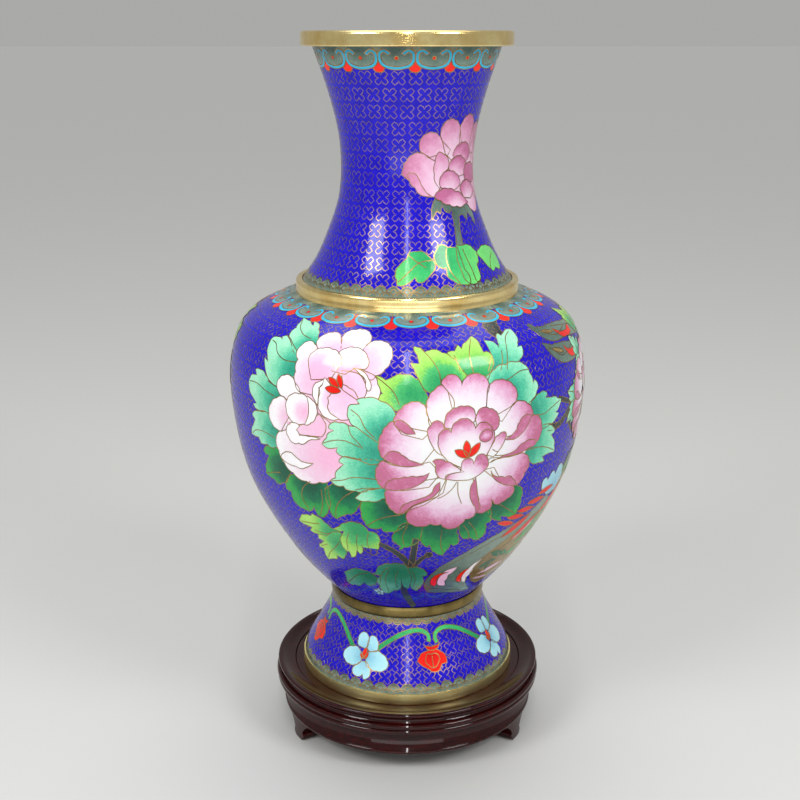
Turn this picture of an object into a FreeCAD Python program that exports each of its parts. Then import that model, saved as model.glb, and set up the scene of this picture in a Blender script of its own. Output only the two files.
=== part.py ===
"""Cloisonne vase on a turned rosewood stand, as a parametric FreeCAD document in millimetres.

The vase is raised in copper rings (foot, five for the body, two for the neck), coated outside
with enamel and inside with a plain lining, and joined by brass rings. It lifts off the
stand, whose board carries its foot ring inside a raised lip. Z is up and the origin is on
the table, under the centre of the stand.
"""
import FreeCAD, Part
import Sketcher
import math
import os

Vector = FreeCAD.Vector

# Driving sizes. Each one can be changed by itself; everything else is worked out from them.
SIZES = (
    # rosewood stand, from the table up
    ("foot_rise", 12.5),
    ("foot_width", 26.0),
    ("foot_toe_width", 12.0),
    ("foot_ankle_width", 10.0),
    ("apron_height", 15.0),
    ("apron_thickness", 10.0),
    ("apron_inset", 4.3),
    ("apron_roll", 0.8),
    ("bead_height", 6.8),
    ("bead_proud", 1.0),
    ("bead_ring_width", 16.5),
    ("stand_rim_height", 6.2),
    ("stand_rim_width", 10.6),
    ("stand_cove_depth", 2.2),
    ("lip_width", 5.0),
    ("lip_height", 2.0),
    ("recess_depth", 2.5),
    ("board_margin", 5.4),
    ("board_thickness", 6.0),
    ("dowel_radius", 2.5),
    ("dowel_half_length", 5.0),
    # heights of the vase, from its seat on the board up
    ("vase_foot_height", 46.8),
    ("waist_ring_height", 6.6),
    ("body_height", 182.0),
    ("shoulder_ring_height", 7.7),
    ("neck_height", 128.9),
    ("rim_height", 8.0),
    # radii of the vase
    ("vase_foot_radius", 65.2),
    ("waist_radius", 46.8),
    ("belly_radius", 104.7),
    ("shoulder_ring_radius", 64.6),
    ("throat_radius", 37.8),
    ("rim_radius", 59.0),
    # wall of the vase, from the outside in
    ("enamel_thickness", 0.8),
    ("copper_thickness", 1.2),
    ("lining_thickness", 0.5),
    # brass rings
    ("foot_ring_height", 6.3),
    ("foot_ring_width", 5.1),
    ("foot_ring_proud", 0.4),
    ("waist_ring_width", 6.8),
    ("waist_ring_proud", 0.6),
    ("shoulder_ring_width", 3.6),
    ("shoulder_ring_skirt", 3.0),
    ("shoulder_bead", 0.9),
    ("shoulder_cove", 0.7),
    ("rim_width", 9.5),
    ("rim_overhang", 6.0),
    ("rim_round", 1.8),
    ("ring_lap", 2.0),
    # floor of the vase and bands of decoration
    ("base_plate_thickness", 1.2),
    ("neck_cloud_band", 12.0),
    ("neck_scale_band", 6.5),
    ("body_cloud_band", 4.6),
    ("foot_upper_band", 3.4),
    ("foot_lower_band", 5.6),
)

# Free curves of the wall as (share of the section's height, share of its change of radius).
FOOT_FLARE = ((0.08, 0.0), (0.21, 0.06), (0.385, 0.291), (0.60, 0.604), (0.814, 0.879))
BODY_BELOW_BELLY = ((0.165, 0.423), (0.276, 0.637), (0.387, 0.810), (0.498, 0.917), (0.609, 0.976))
BELLY_SHARE = 0.72
BODY_ABOVE_BELLY = ((0.831, 0.063), (0.914, 0.236), (0.971, 0.63))
NECK_BELOW_THROAT = ((0.101, 0.628), (0.210, 0.359), (0.351, 0.09))
THROAT_SHARE = 0.492
NECK_ABOVE_THROAT = ((0.633, 0.089), (0.774, 0.362), (0.915, 0.737))
CURVE_STEPS = 28

# The wall runs on a little past the ends of each section, so that its coats can be cut square.
# Each run is (across, up) as a share of the lap, the skirt or the section's height.
FOOT_RUN_IN = 0.01
FOOT_RUN_OUT = 1.06
BODY_RUN_IN = (-1.4, -1.5)
BODY_RUN_OUT = (-2.0, 0.8)
NECK_RUN_IN = (1.5, -2.0)
NECK_RUN_OUT = (0.6, 1.5)

# Where the copper rings meet, as shares of the section's height.
BODY_SEAMS = (0.22, 0.5, 0.72, 0.9)
BODY_COPPER = ("body_copper_base", "body_copper_lower", "body_copper_middle",
               "body_copper_upper", "body_copper_shoulder")
NECK_COPPER = ("neck_copper_lower", "neck_copper_upper")

# Heights as sums of driving sizes.
BEAD_BASE = "foot_rise + apron_height"
STAND_RIM_BASE = BEAD_BASE + " + bead_height"
STAND_TOP = STAND_RIM_BASE + " + stand_rim_height"
SEAT = STAND_TOP + " - recess_depth"
WAIST_LOW = SEAT + " + vase_foot_height"
WAIST_HIGH = WAIST_LOW + " + waist_ring_height"
BODY_TOP = WAIST_HIGH + " + body_height"
NECK_BASE = BODY_TOP + " + shoulder_ring_height"
NECK_TOP = NECK_BASE + " + neck_height"
VASE_TOP = NECK_TOP + " + rim_height"

# Radii as sums of driving sizes.
FOOT_RING_OUT = "vase_foot_radius + foot_ring_proud"
BOARD_RADIUS = FOOT_RING_OUT + " + board_margin"
STAND_RADIUS = BOARD_RADIUS + " + stand_rim_width"
BEAD_RADIUS = STAND_RADIUS + " + bead_proud"
APRON_RADIUS = STAND_RADIUS + " - apron_inset"
APRON_BORE = APRON_RADIUS + " - apron_thickness"
APRON_MIDDLE = APRON_RADIUS + " - 0.5*apron_thickness"
BEAD_BORE = BEAD_RADIUS + " - bead_ring_width"
WAIST_RING_OUT = "waist_radius + waist_ring_proud"
WAIST_BORE = WAIST_RING_OUT + " - waist_ring_width"
SHOULDER_BORE = "shoulder_ring_radius - shoulder_ring_width"
MOUTH = "rim_radius - rim_width"

FOOT_ANGLES = (("stand_foot_left", -60.0), ("stand_foot_right", 60.0), ("stand_foot_back", 180.0))
RING_DOWEL_ANGLES = (0.0, 120.0, -120.0)

doc = FreeCAD.newDocument("cloisonne_vase")
sheet = doc.addObject("Spreadsheet::Sheet", "sizes")
for row, (alias, number) in enumerate(SIZES, start=1):
    sheet.set(f"A{row}", alias.replace("_", " "))
    sheet.set(f"B{row}", str(number))
    sheet.setAlias(f"B{row}", alias)
doc.recompute()

nodes = []


def value(total):
    """Millimetres of a sum of driving sizes such as 'rim_radius - 0.5*rim_width'."""
    result, sign = 0.0, 1.0
    for word in total.split():
        if word in "+-":
            sign = -1.0 if word == "-" else 1.0
        else:
            factor, _, alias = word.rpartition("*")
            result += sign * float(factor or 1) * float(sheet.get(alias))
    return result


def formula(total):
    """The same sum as an expression on the sheet's cells."""
    words = []
    for word in total.split():
        factor, _, alias = word.rpartition("*")
        if word in "+-":
            words.append(word)
        else:
            words.append((factor + " * " if factor else "") + "sizes." + alias)
    return " ".join(words)


def minus(total):
    """A sum that is to be taken away, with its signs turned over."""
    turned = total.replace(" + ", " @ ").replace(" - ", " + ").replace(" @ ", " - ")
    return " - " + turned


def bind(thing, **sizes):
    """Ties properties of a document object to sums of driving sizes."""
    for name, total in sizes.items():
        thing.setExpression(name.replace("__", "."), formula(total))


def origin_plane(body, role):
    return next(f for f in body.Origin.OriginFeatures if f.Role == role)


def draw_outline(body, role, corners):
    """A closed sketch. A corner is (across, up); with two more sums the side that leaves it
    is an arc through that point. Every corner is dimensioned from the origin."""
    sketch = body.newObject("Sketcher::SketchObject", body.Name + "_outline")
    sketch.AttachmentSupport = (origin_plane(body, role), "")
    sketch.MapMode = "FlatFace"
    places = [Vector(value(c[0]), value(c[1]), 0) for c in corners]
    ends = []
    for index, corner in enumerate(corners):
        here, there = places[index], places[(index + 1) % len(corners)]
        if len(corner) == 2:
            side = sketch.addGeometry(Part.LineSegment(here, there), False)
            ends.append((side, 1, 2))
            continue
        through = Vector(value(corner[2]), value(corner[3]), 0)
        leftward = (through - here).cross(there - through).z > 0
        arc = Part.Arc(here, through, there) if leftward else Part.Arc(there, through, here)
        side = sketch.addGeometry(arc, False)
        ends.append((side, 1, 2) if leftward else (side, 2, 1))
        crown = sketch.addGeometry(Part.Point(through), True)
        sketch.addConstraint(Sketcher.Constraint("PointOnObject", crown, 1, side))
        dimension(sketch, crown, 1, corner[2], corner[3], through)
    for index, corner in enumerate(corners):
        side, start, _ = ends[index]
        before, _, finish = ends[index - 1]
        sketch.addConstraint(Sketcher.Constraint("Coincident", before, finish, side, start))
        dimension(sketch, side, start, corner[0], corner[1], places[index])
    return sketch


def dimension(sketch, geometry, end, across, up, place):
    """Ordinate dimensions from the sketch's origin, bound to the sheet."""
    for kind, total, number in (("DistanceX", across, place.x), ("DistanceY", up, place.y)):
        index = sketch.addConstraint(Sketcher.Constraint(kind, -1, 1, geometry, end, number))
        sketch.setExpression(f"Constraints[{index}]", formula(total))


def turned_body(name, corners):
    """A ring turned about Z from an outline in the XZ plane."""
    body = doc.addObject("PartDesign::Body", name)
    sketch = draw_outline(body, "XZ_Plane", corners)
    turn = body.newObject("PartDesign::Revolution", name + "_turning")
    turn.Profile = sketch
    turn.ReferenceAxis = (sketch, ["V_Axis"])
    turn.Angle = 360.0
    sketch.Visibility = False
    body.Tip = turn
    doc.recompute()
    return body


def cylinder(name, radius, low, high):
    """A cylinder about Z between two heights, used as a blank or as a cutter."""
    blank = doc.addObject("Part::Cylinder", name)
    bind(blank, Radius=radius, Height=high + minus(low), Placement__Base__z=low)
    return blank


def cut(name, base, tool):
    result = doc.addObject("Part::Cut", name)
    result.Base, result.Tool = base, tool
    return result


def common(name, base, tool):
    result = doc.addObject("Part::Common", name)
    result.Base, result.Tool = base, tool
    return result


def node(thing, label):
    """Names a finished sub-part, which is written to a file of that name."""
    thing.Label = label
    nodes.append(thing)
    return thing


# ---------------------------------------------------------------- the wall of the vase

def curve_through(points):
    """A smooth curve through (radius, height) points in the XZ plane."""
    curve = Part.BSplineCurve()
    curve.interpolate([Vector(radius, 0, height) for radius, height in points])
    return curve


def set_in(curve, depth):
    """The curve moved towards the axis by a depth measured square to the wall."""
    moved = []
    first, last = curve.FirstParameter, curve.LastParameter
    for step in range(CURVE_STEPS + 1):
        at = first + (last - first) * step / CURVE_STEPS
        along = curve.tangent(at)[0]
        square = Vector(-along.z, 0, along.x)
        moved.append(curve.value(at) + square * depth)
    result = Part.BSplineCurve()
    result.interpolate(moved)
    return result


def layer(name, outside, shallow, deep):
    """A coat of the wall between two depths, turned about Z."""
    outer = set_in(outside, value(shallow) if shallow else 0.0)
    inner = set_in(outside, value(deep))
    low = Part.LineSegment(inner.StartPoint, outer.StartPoint).toShape()
    high = Part.LineSegment(outer.EndPoint, inner.EndPoint).toShape()
    wire = Part.Wire(Part.__sortEdges__([outer.toShape(), high, inner.toShape(), low]))
    coat = doc.addObject("Part::Feature", name)
    coat.Shape = Part.Face(wire).revolve(Vector(0, 0, 0), Vector(0, 0, 1), 360)
    return coat


def filled(name, outside, depth):
    """Everything inside the wall at one depth, from the axis out."""
    outer = set_in(outside, value(depth))
    start, end = outer.StartPoint, outer.EndPoint
    foot, head = Vector(0, 0, start.z), Vector(0, 0, end.z)
    sides = [Part.LineSegment(foot, start).toShape(), outer.toShape(),
             Part.LineSegment(end, head).toShape(), Part.LineSegment(head, foot).toShape()]
    core = doc.addObject("Part::Feature", name)
    core.Shape = Part.Face(Part.Wire(sides)).revolve(Vector(0, 0, 0), Vector(0, 0, 1), 360)
    return core


def section(base, height, start, end, shares):
    """Points of a curve whose radius goes from start to end over part of a section."""
    return [(start + (end - start) * change, base + height * rise) for rise, change in shares]


def run(radius, height, unit, shares):
    """A point past the end of a section."""
    return radius + shares[0] * unit, height + shares[1] * unit


def foot_curve():
    base, height = value(SEAT), value("vase_foot_height")
    wide, waist = value("vase_foot_radius"), value("waist_radius")
    points = [(wide, base + FOOT_RUN_IN * height)]
    points += section(base, height, wide, waist, FOOT_FLARE)
    points += [(waist, base + height), (waist, base + FOOT_RUN_OUT * height)]
    return curve_through(points)


def body_curve():
    base, height = value(WAIST_HIGH), value("body_height")
    waist, belly, ring = value("waist_radius"), value("belly_radius"), value("shoulder_ring_radius")
    lap, skirt = value("ring_lap"), value("shoulder_ring_skirt")
    points = [run(waist, base, lap, BODY_RUN_IN), (waist, base)]
    points += section(base, height, waist, belly, BODY_BELOW_BELLY)
    points += [(belly, base + height * BELLY_SHARE)]
    points += section(base, height, belly, ring + lap, BODY_ABOVE_BELLY)
    points += [(ring + lap, base + height), run(ring, base + height, skirt, BODY_RUN_OUT)]
    return curve_through(points)


def neck_curve():
    base, height = value(NECK_BASE), value("neck_height")
    foot = value(SHOULDER_BORE)
    throat, mouth = value("throat_radius"), value("rim_radius - rim_overhang")
    lap = value("ring_lap")
    points = [run(foot, base, lap, NECK_RUN_IN), (foot, base)]
    points += section(base, height, throat, foot, NECK_BELOW_THROAT)
    points += [(throat, base + height * THROAT_SHARE)]
    points += section(base, height, throat, mouth, NECK_ABOVE_THROAT)
    points += [(mouth, base + height), run(mouth, base + height, lap, NECK_RUN_OUT)]
    return curve_through(points)


COPPER_AT = "enamel_thickness"
LINING_AT = "enamel_thickness + copper_thickness"
WALL = LINING_AT + " + lining_thickness"
BLANK_RADIUS = "belly_radius + shoulder_ring_radius + vase_foot_radius"
HALF_LAP = "0.5*ring_lap"


def slab(name, low, high):
    """All of the vase between two heights."""
    return cylinder(name + "_slab", BLANK_RADIUS, low, high)


def coat_between(label, coat, low, high):
    return node(common(label, coat, slab(label, low, high)), label)


def copper_rings(labels, coat, lines):
    """The copper of a section, cut into rings at the lines between its two ends."""
    return [coat_between(label, coat, low, high)
            for label, low, high in zip(labels, lines, lines[1:])]


def flared_shell(part, curve, rings, lines, bands):
    """One shell that runs between two brass rings: its copper, its enamel bands and its lining."""
    copper = layer(part + "_copper_coat", curve, COPPER_AT, LINING_AT)
    enamel = layer(part + "_enamel_coat", curve, "", COPPER_AT)
    inside = layer(part + "_lining_coat", curve, LINING_AT, WALL)
    metal = copper_rings(rings, copper, lines)
    coat_between(part + "_lining", inside, bands[0][1], bands[-1][2])
    for label, low, high in bands:
        coat_between(label, enamel, low, high)
    return metal


foot_ring_line = SEAT + " + foot_ring_height"
foot_lower_line = foot_ring_line + " + foot_lower_band"
foot_upper_line = WAIST_LOW + " - foot_upper_band"
foot_copper = flared_shell(
    "foot", foot_curve(), ("foot_copper",),
    (foot_ring_line + " - ring_lap", WAIST_LOW + " + " + HALF_LAP),
    (("foot_lower_scale_enamel", foot_ring_line, foot_lower_line),
     ("foot_ground_enamel", foot_lower_line, foot_upper_line),
     ("foot_upper_scale_enamel", foot_upper_line, WAIST_LOW)))

neck_scale_line = NECK_BASE + " + neck_scale_band"
neck_cloud_line = NECK_TOP + " - neck_cloud_band"
throat_line = f"{NECK_BASE} + {THROAT_SHARE}*neck_height"
neck_copper = flared_shell(
    "neck", neck_curve(), NECK_COPPER,
    (NECK_BASE + " - ring_lap - 0.5*ring_lap", throat_line, NECK_TOP + " + ring_lap"),
    (("neck_scale_enamel", NECK_BASE, neck_scale_line),
     ("neck_ground_enamel", neck_scale_line, neck_cloud_line),
     ("neck_cloud_enamel", neck_cloud_line, NECK_TOP)))


def build_body():
    """The body: its copper rings, a lining, and two enamel bands. Its top runs in under the
    shoulder ring, so its coats end against that ring's walls."""
    curve = body_curve()
    over_top = NECK_BASE
    bore = cylinder("shoulder_bore", SHOULDER_BORE, WAIST_HIGH + " + 0.5*body_height", over_top)
    well = cylinder("shoulder_well", "shoulder_ring_radius", WAIST_HIGH + " + 0.5*body_height", over_top)
    copper = cut("body_copper_trimmed", layer("body_copper_coat", curve, COPPER_AT, LINING_AT), bore)
    inside = cut("body_lining_trimmed", layer("body_lining_coat", curve, LINING_AT, WALL), well)
    enamel = cut("body_enamel_trimmed", layer("body_enamel_coat", curve, "", COPPER_AT), well)
    seams = tuple(f"{WAIST_HIGH} + {share}*body_height" for share in BODY_SEAMS)
    cloud_line = BODY_TOP + " - body_cloud_band"
    copper_rings(BODY_COPPER, copper, (WAIST_HIGH + minus(HALF_LAP),) + seams + (over_top,))
    coat_between("body_lining", inside, WAIST_HIGH, over_top)
    coat_between("body_cloud_enamel", enamel, cloud_line, over_top)
    coat_between("body_ground_enamel", enamel, WAIST_HIGH, cloud_line)
    return copper, filled("body_core", curve, COPPER_AT)


body_copper, body_core = build_body()


# ---------------------------------------------------------------- brass rings of the vase

def rim_ring():
    """A tall flat-faced band, rounded over at the top and eased at the mouth."""
    low, high = NECK_TOP, VASE_TOP
    ring = turned_body("rim_turned", (
        (MOUTH, low),
        ("rim_radius - 0.5*rim_round", low, "rim_radius - 0.15*rim_round", low + " + 0.15*rim_round"),
        ("rim_radius", low + " + 0.5*rim_round"),
        ("rim_radius", high + " - rim_round",
         "rim_radius - 0.29*rim_round", high + " - 0.29*rim_round"),
        ("rim_radius - rim_round", high),
        (MOUTH + " + rim_round", high, MOUTH + " + 0.29*rim_round", high + " - 0.29*rim_round"),
        (MOUTH, high + " - rim_round"),
    ))
    return node(cut("rim_ring", ring, neck_copper[-1]), "rim_ring")


def shoulder_ring():
    """A moulded band: a bead at each edge, a fine ridge between, and two shallow coves."""
    low, high = BODY_TOP, NECK_BASE
    face = "shoulder_ring_radius"
    cove = "shoulder_ring_radius - shoulder_cove"
    middle = low + " + 0.5*shoulder_ring_height"
    ring = turned_body("shoulder_turned", (
        (SHOULDER_BORE, low + " - shoulder_ring_skirt"),
        (face, low + " - shoulder_ring_skirt"),
        (face, low),
        (face, low + " + 0.2*shoulder_ring_height", cove, low + " + 0.33*shoulder_ring_height"),
        (face + " - 0.5*shoulder_bead", middle + " - 0.03*shoulder_ring_height"),
        (face + " - 0.5*shoulder_bead", middle + " + 0.03*shoulder_ring_height",
         cove, low + " + 0.66*shoulder_ring_height"),
        (face + " - 0.4*shoulder_bead", high + " - 0.2*shoulder_ring_height"),
        (face + " - 0.4*shoulder_bead", high + " - shoulder_bead",
         face + " - 0.7*shoulder_bead", high + " - 0.3*shoulder_bead"),
        (face + " - 1.4*shoulder_bead", high),
        (SHOULDER_BORE, high),
    ))
    on_body = cut("shoulder_on_body", ring, body_core)
    return node(cut("shoulder_ring", on_body, neck_copper[0]), "shoulder_ring")


def waist_ring():
    """A plain band with a slight crown that joins the foot to the body and holds the floor."""
    low, high = WAIST_LOW, WAIST_HIGH
    ring = turned_body("waist_turned", (
        (WAIST_BORE, low),
        (WAIST_RING_OUT + " - waist_ring_proud", low,
         WAIST_RING_OUT, low + " + 0.5*waist_ring_height"),
        (WAIST_RING_OUT + " - waist_ring_proud", high),
        (WAIST_BORE, high),
    ))
    on_body = cut("waist_on_body", ring, body_copper)
    return node(cut("waist_ring", on_body, foot_copper[0]), "waist_ring")


def foot_ring():
    """The band under the foot, grooved on top for the copper, with its lower edge rounded."""
    low, high = SEAT, foot_ring_line
    ease = "foot_ring_proud"
    bore = FOOT_RING_OUT + " - foot_ring_width"
    ring = turned_body("foot_turned", (
        (bore, low),
        (FOOT_RING_OUT + minus(ease), low,
         FOOT_RING_OUT + " - 0.29*foot_ring_proud", low + " + 0.29*foot_ring_proud"),
        (FOOT_RING_OUT, low + " + " + ease),
        (FOOT_RING_OUT, high + minus(ease)),
        (FOOT_RING_OUT + minus(ease), high),
        (bore, high),
    ))
    return node(cut("foot_ring", ring, foot_copper[0]), "foot_ring")


rim_ring()
shoulder_ring()
waist_ring()
foot_ring()


def vase_floor():
    """The copper floor inside the waist ring, with a coat of enamel on each face."""
    middle = WAIST_LOW + " + 0.5*waist_ring_height"
    under, over = middle + " - 0.5*base_plate_thickness", middle + " + 0.5*base_plate_thickness"
    node(cylinder("base_plate", WAIST_BORE, under, over), "base_plate")
    node(cylinder("base_lining", WAIST_BORE, over, over + " + lining_thickness"), "base_lining")
    node(cylinder("base_back_enamel", WAIST_BORE, under + " - lining_thickness", under),
         "base_back_enamel")


vase_floor()


# ---------------------------------------------------------------- the rosewood stand

def dowel_group(label, angles, low, high):
    """Round pins on the apron's middle circle, kept as one group of separate solids."""
    pins = []
    for number, angle in enumerate(angles, start=1):
        pin = cylinder(f"{label}_pin_{number}", "dowel_radius", low, high)
        turn = math.radians(angle)
        middle = formula(APRON_MIDDLE)
        pin.setExpression("Placement.Base.x", f"({middle}) * {math.sin(turn):.6f}")
        pin.setExpression("Placement.Base.y", f"({middle}) * {-math.cos(turn):.6f}")
        pins.append(pin)
    group = doc.addObject("Part::Compound", label)
    group.Links = pins
    return node(group, label)


foot_dowels = dowel_group("stand_foot_dowels", [angle for _, angle in FOOT_ANGLES],
                          "foot_rise - dowel_half_length", "foot_rise + dowel_half_length")
ring_dowels = dowel_group("stand_ring_dowels", RING_DOWEL_ANGLES,
                          BEAD_BASE + " - 0.8*dowel_half_length",
                          BEAD_BASE + " + 0.6*dowel_half_length")


def stand_board():
    """The flat round board that the foot ring rests on, let into the rings around it."""
    board = turned_body("board_turned", (
        ("0*board_thickness", SEAT + " - board_thickness"),
        (BOARD_RADIUS, SEAT + " - board_thickness"),
        (BOARD_RADIUS, SEAT + " - 0.1*board_thickness"),
        (BOARD_RADIUS + " - 0.1*board_thickness", SEAT),
        ("0*board_thickness", SEAT),
    ))
    return node(board, "stand_board")


def stand_rim_ring():
    """The top moulding: a raised lip, a step down to the board, and a cove under the lip."""
    low, high = STAND_RIM_BASE, STAND_TOP
    step = high + " - recess_depth + 0.2*recess_depth"
    inner = STAND_RADIUS + " - lip_width"
    nose = high + " - lip_height"
    cove = STAND_RADIUS + " - stand_cove_depth"
    ring = turned_body("stand_rim_turned", (
        (BOARD_RADIUS, low),
        (cove, low, cove + " - 0.35*stand_cove_depth",
         STAND_RIM_BASE + " + 0.4*stand_rim_height"),
        (STAND_RADIUS + " - 0.4*lip_height", nose, STAND_RADIUS, high + " - 0.45*lip_height"),
        (STAND_RADIUS + " - 0.6*lip_height", high),
        (inner + " + 0.3*lip_width", high),
        (inner, step, inner + " - 0.1*lip_width", step + " - 0.1*recess_depth"),
        (inner + " - 0.3*lip_width", step),
        (BOARD_RADIUS, step),
    ))
    return node(ring, "stand_rim_ring")


def stand_bead_ring():
    """A heavy moulding of two rolls, rabbeted inside to take the board."""
    low, high = BEAD_BASE, STAND_RIM_BASE
    part_line = low + " + 0.48*bead_height"
    rabbet = SEAT + " - board_thickness"
    ring = turned_body("bead_turned", (
        (BEAD_BORE, low),
        (BEAD_RADIUS + " - 2*bead_proud", low,
         BEAD_RADIUS + " - 0.4*bead_proud", low + " + 0.22*bead_height"),
        (BEAD_RADIUS + " - 1.5*bead_proud", part_line,
         BEAD_RADIUS, low + " + 0.73*bead_height"),
        (BEAD_RADIUS + " - 2*bead_proud", high),
        (BOARD_RADIUS, high),
        (BOARD_RADIUS, rabbet),
        (BEAD_BORE, rabbet),
    ))
    return node(cut("stand_bead_ring", ring, ring_dowels), "stand_bead_ring")


def stand_apron_ring():
    """The upright band that hangs under the mouldings, with a small roll along its hem."""
    low, high = "foot_rise", BEAD_BASE
    ring = turned_body("apron_turned", (
        (APRON_BORE, low),
        (APRON_RADIUS, low, APRON_RADIUS + " + apron_roll", low + " + 1.5*apron_roll"),
        (APRON_RADIUS, low + " + 3*apron_roll"),
        (APRON_RADIUS, high),
        (APRON_BORE, high),
    ))
    drilled = cut("apron_drilled", ring, ring_dowels)
    return node(cut("stand_apron_ring", drilled, foot_dowels), "stand_apron_ring")


def stand_foot(label, angle):
    """One bracket foot: wide under the apron, drawn in at the ankle, with a rounded toe."""
    half_top, half_toe, half_ankle = "0.5*foot_width", "0.5*foot_toe_width", "0.5*foot_ankle_width"
    none = "0*foot_width"
    body = doc.addObject("PartDesign::Body", label + "_carved")
    sketch = draw_outline(body, "XZ_Plane", (
        (none + " - " + half_top, "foot_rise",
         none + " - 0.30*foot_width", "0.74*foot_rise"),
        (none + " - " + half_ankle, "0.42*foot_rise",
         none + " - " + half_toe, "0.22*foot_rise"),
        (none + " - 0.30*foot_toe_width", "0*foot_rise"),
        ("0.30*foot_toe_width", "0*foot_rise", half_toe, "0.22*foot_rise"),
        (half_ankle, "0.42*foot_rise", "0.30*foot_width", "0.74*foot_rise"),
        (half_top, "foot_rise"),
    ))
    pad = body.newObject("PartDesign::Pad", label + "_block")
    pad.Profile = sketch
    pad.setExpression("Length", formula(APRON_RADIUS))
    sketch.Visibility = False
    body.Tip = pad
    body.Placement = FreeCAD.Placement(Vector(0, 0, 0), FreeCAD.Rotation(Vector(0, 0, 1), angle))
    doc.recompute()
    tube = cut(label + "_tube", cylinder(label + "_out", APRON_RADIUS, none, "foot_rise"),
               cylinder(label + "_in", APRON_BORE, none, "foot_rise"))
    curved = common(label + "_curved", body, tube)
    return node(cut(label, curved, foot_dowels), label)


stand_board()
stand_rim_ring()
stand_bead_ring()
stand_apron_ring()
for foot_label, foot_angle in FOOT_ANGLES:
    stand_foot(foot_label, foot_angle)

# ---------------------------------------------------------------- check and write

doc.recompute()
for thing in doc.Objects:
    if "Invalid" in thing.State or "Error" in thing.State:
        raise RuntimeError(f"{thing.Name} failed: {thing.State}")
for thing in nodes:
    if thing.Shape.isNull() or not thing.Shape.isValid() or not thing.Shape.Solids:
        raise RuntimeError(f"{thing.Label} has no valid solid")

os.makedirs("parts", exist_ok=True)
for thing in nodes:
    thing.Shape.exportStep(os.path.join("parts", thing.Label + ".step"))
    box = thing.Shape.BoundBox
    print(f"{thing.Label:26s} solids {len(thing.Shape.Solids)}  volume {thing.Shape.Volume:10.1f}"
          f"  radius {box.XMax:6.1f}  z {box.ZMin:6.1f} to {box.ZMax:6.1f}")
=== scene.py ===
"""A cloisonne vase on a rosewood stand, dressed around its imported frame.

Every motif is drawn flat, in millimetres, as cells of enamel inside bent wires. Across is
measured along the wall at the section's round, up along its slope, and the flat drawing is
then laid onto the wall of the vase.
"""
import bmesh
import bpy
import math
from mathutils import Matrix, Vector


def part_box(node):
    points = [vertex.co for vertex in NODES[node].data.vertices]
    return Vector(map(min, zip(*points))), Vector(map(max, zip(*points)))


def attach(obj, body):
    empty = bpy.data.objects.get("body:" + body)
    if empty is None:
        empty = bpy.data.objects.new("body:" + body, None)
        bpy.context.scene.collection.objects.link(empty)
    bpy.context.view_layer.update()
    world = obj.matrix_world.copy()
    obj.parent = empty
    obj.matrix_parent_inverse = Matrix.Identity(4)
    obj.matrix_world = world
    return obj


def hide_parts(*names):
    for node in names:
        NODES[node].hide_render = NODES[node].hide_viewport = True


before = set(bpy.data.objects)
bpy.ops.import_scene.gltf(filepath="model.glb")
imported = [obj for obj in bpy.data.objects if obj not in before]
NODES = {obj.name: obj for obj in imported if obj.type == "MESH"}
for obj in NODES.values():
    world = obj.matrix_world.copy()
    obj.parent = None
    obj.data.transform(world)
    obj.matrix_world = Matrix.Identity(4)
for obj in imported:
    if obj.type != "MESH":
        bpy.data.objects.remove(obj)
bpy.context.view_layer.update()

MM = 0.001
MARK_GAP = 1.2             # the wall is measured at heights at least this far apart
GROUND_DEPTH = 0.50        # the blue ground lies this far under the finished wall
GROUND_THICK = 0.4
LAYER_STEP = 0.05          # each layer of cells stands this much over the one below
WIRE_STAND = 0.02          # a wire stands this much over the enamel that it holds
WIRE_WIDE = 0.5
WIRE_TALL = 0.14
CLOUD_WIRE_WIDE = 0.4
CLOUD_WIRE_TALL = 0.1
CLOUD_HALF = 4.2           # half of a wire cloud, with its share of the gap
GROUND_RING = 2.5          # spacing of the rings of the ground's shell
GROUND_STEPS = 256         # steps round the axis of a ground shell
RING_STEPS = 160           # steps round the axis of a turned ring
SEAM = 0.01 * MM           # points nearer than this are one point
SHOULDER_RING_TALL = 7.7
SHOULDER_FACE = 1.9        # the moulded part of the shoulder ring lies this near its face
FOOT_RING_FACE = 0.6


def only(*objects):
    """Select just these, the first one active."""
    bpy.ops.object.select_all(action="DESELECT")
    for thing in objects:
        thing.select_set(True)
    bpy.context.view_layer.objects.active = objects[0]


def joined(objects, name):
    """The objects made one piece."""
    only(*objects)
    if len(objects) > 1:
        bpy.ops.object.join()
    piece = bpy.context.view_layer.objects.active
    piece.name = piece.data.name = name
    return piece


# ---------------------------------------------------------------- the wall of the vase

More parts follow.
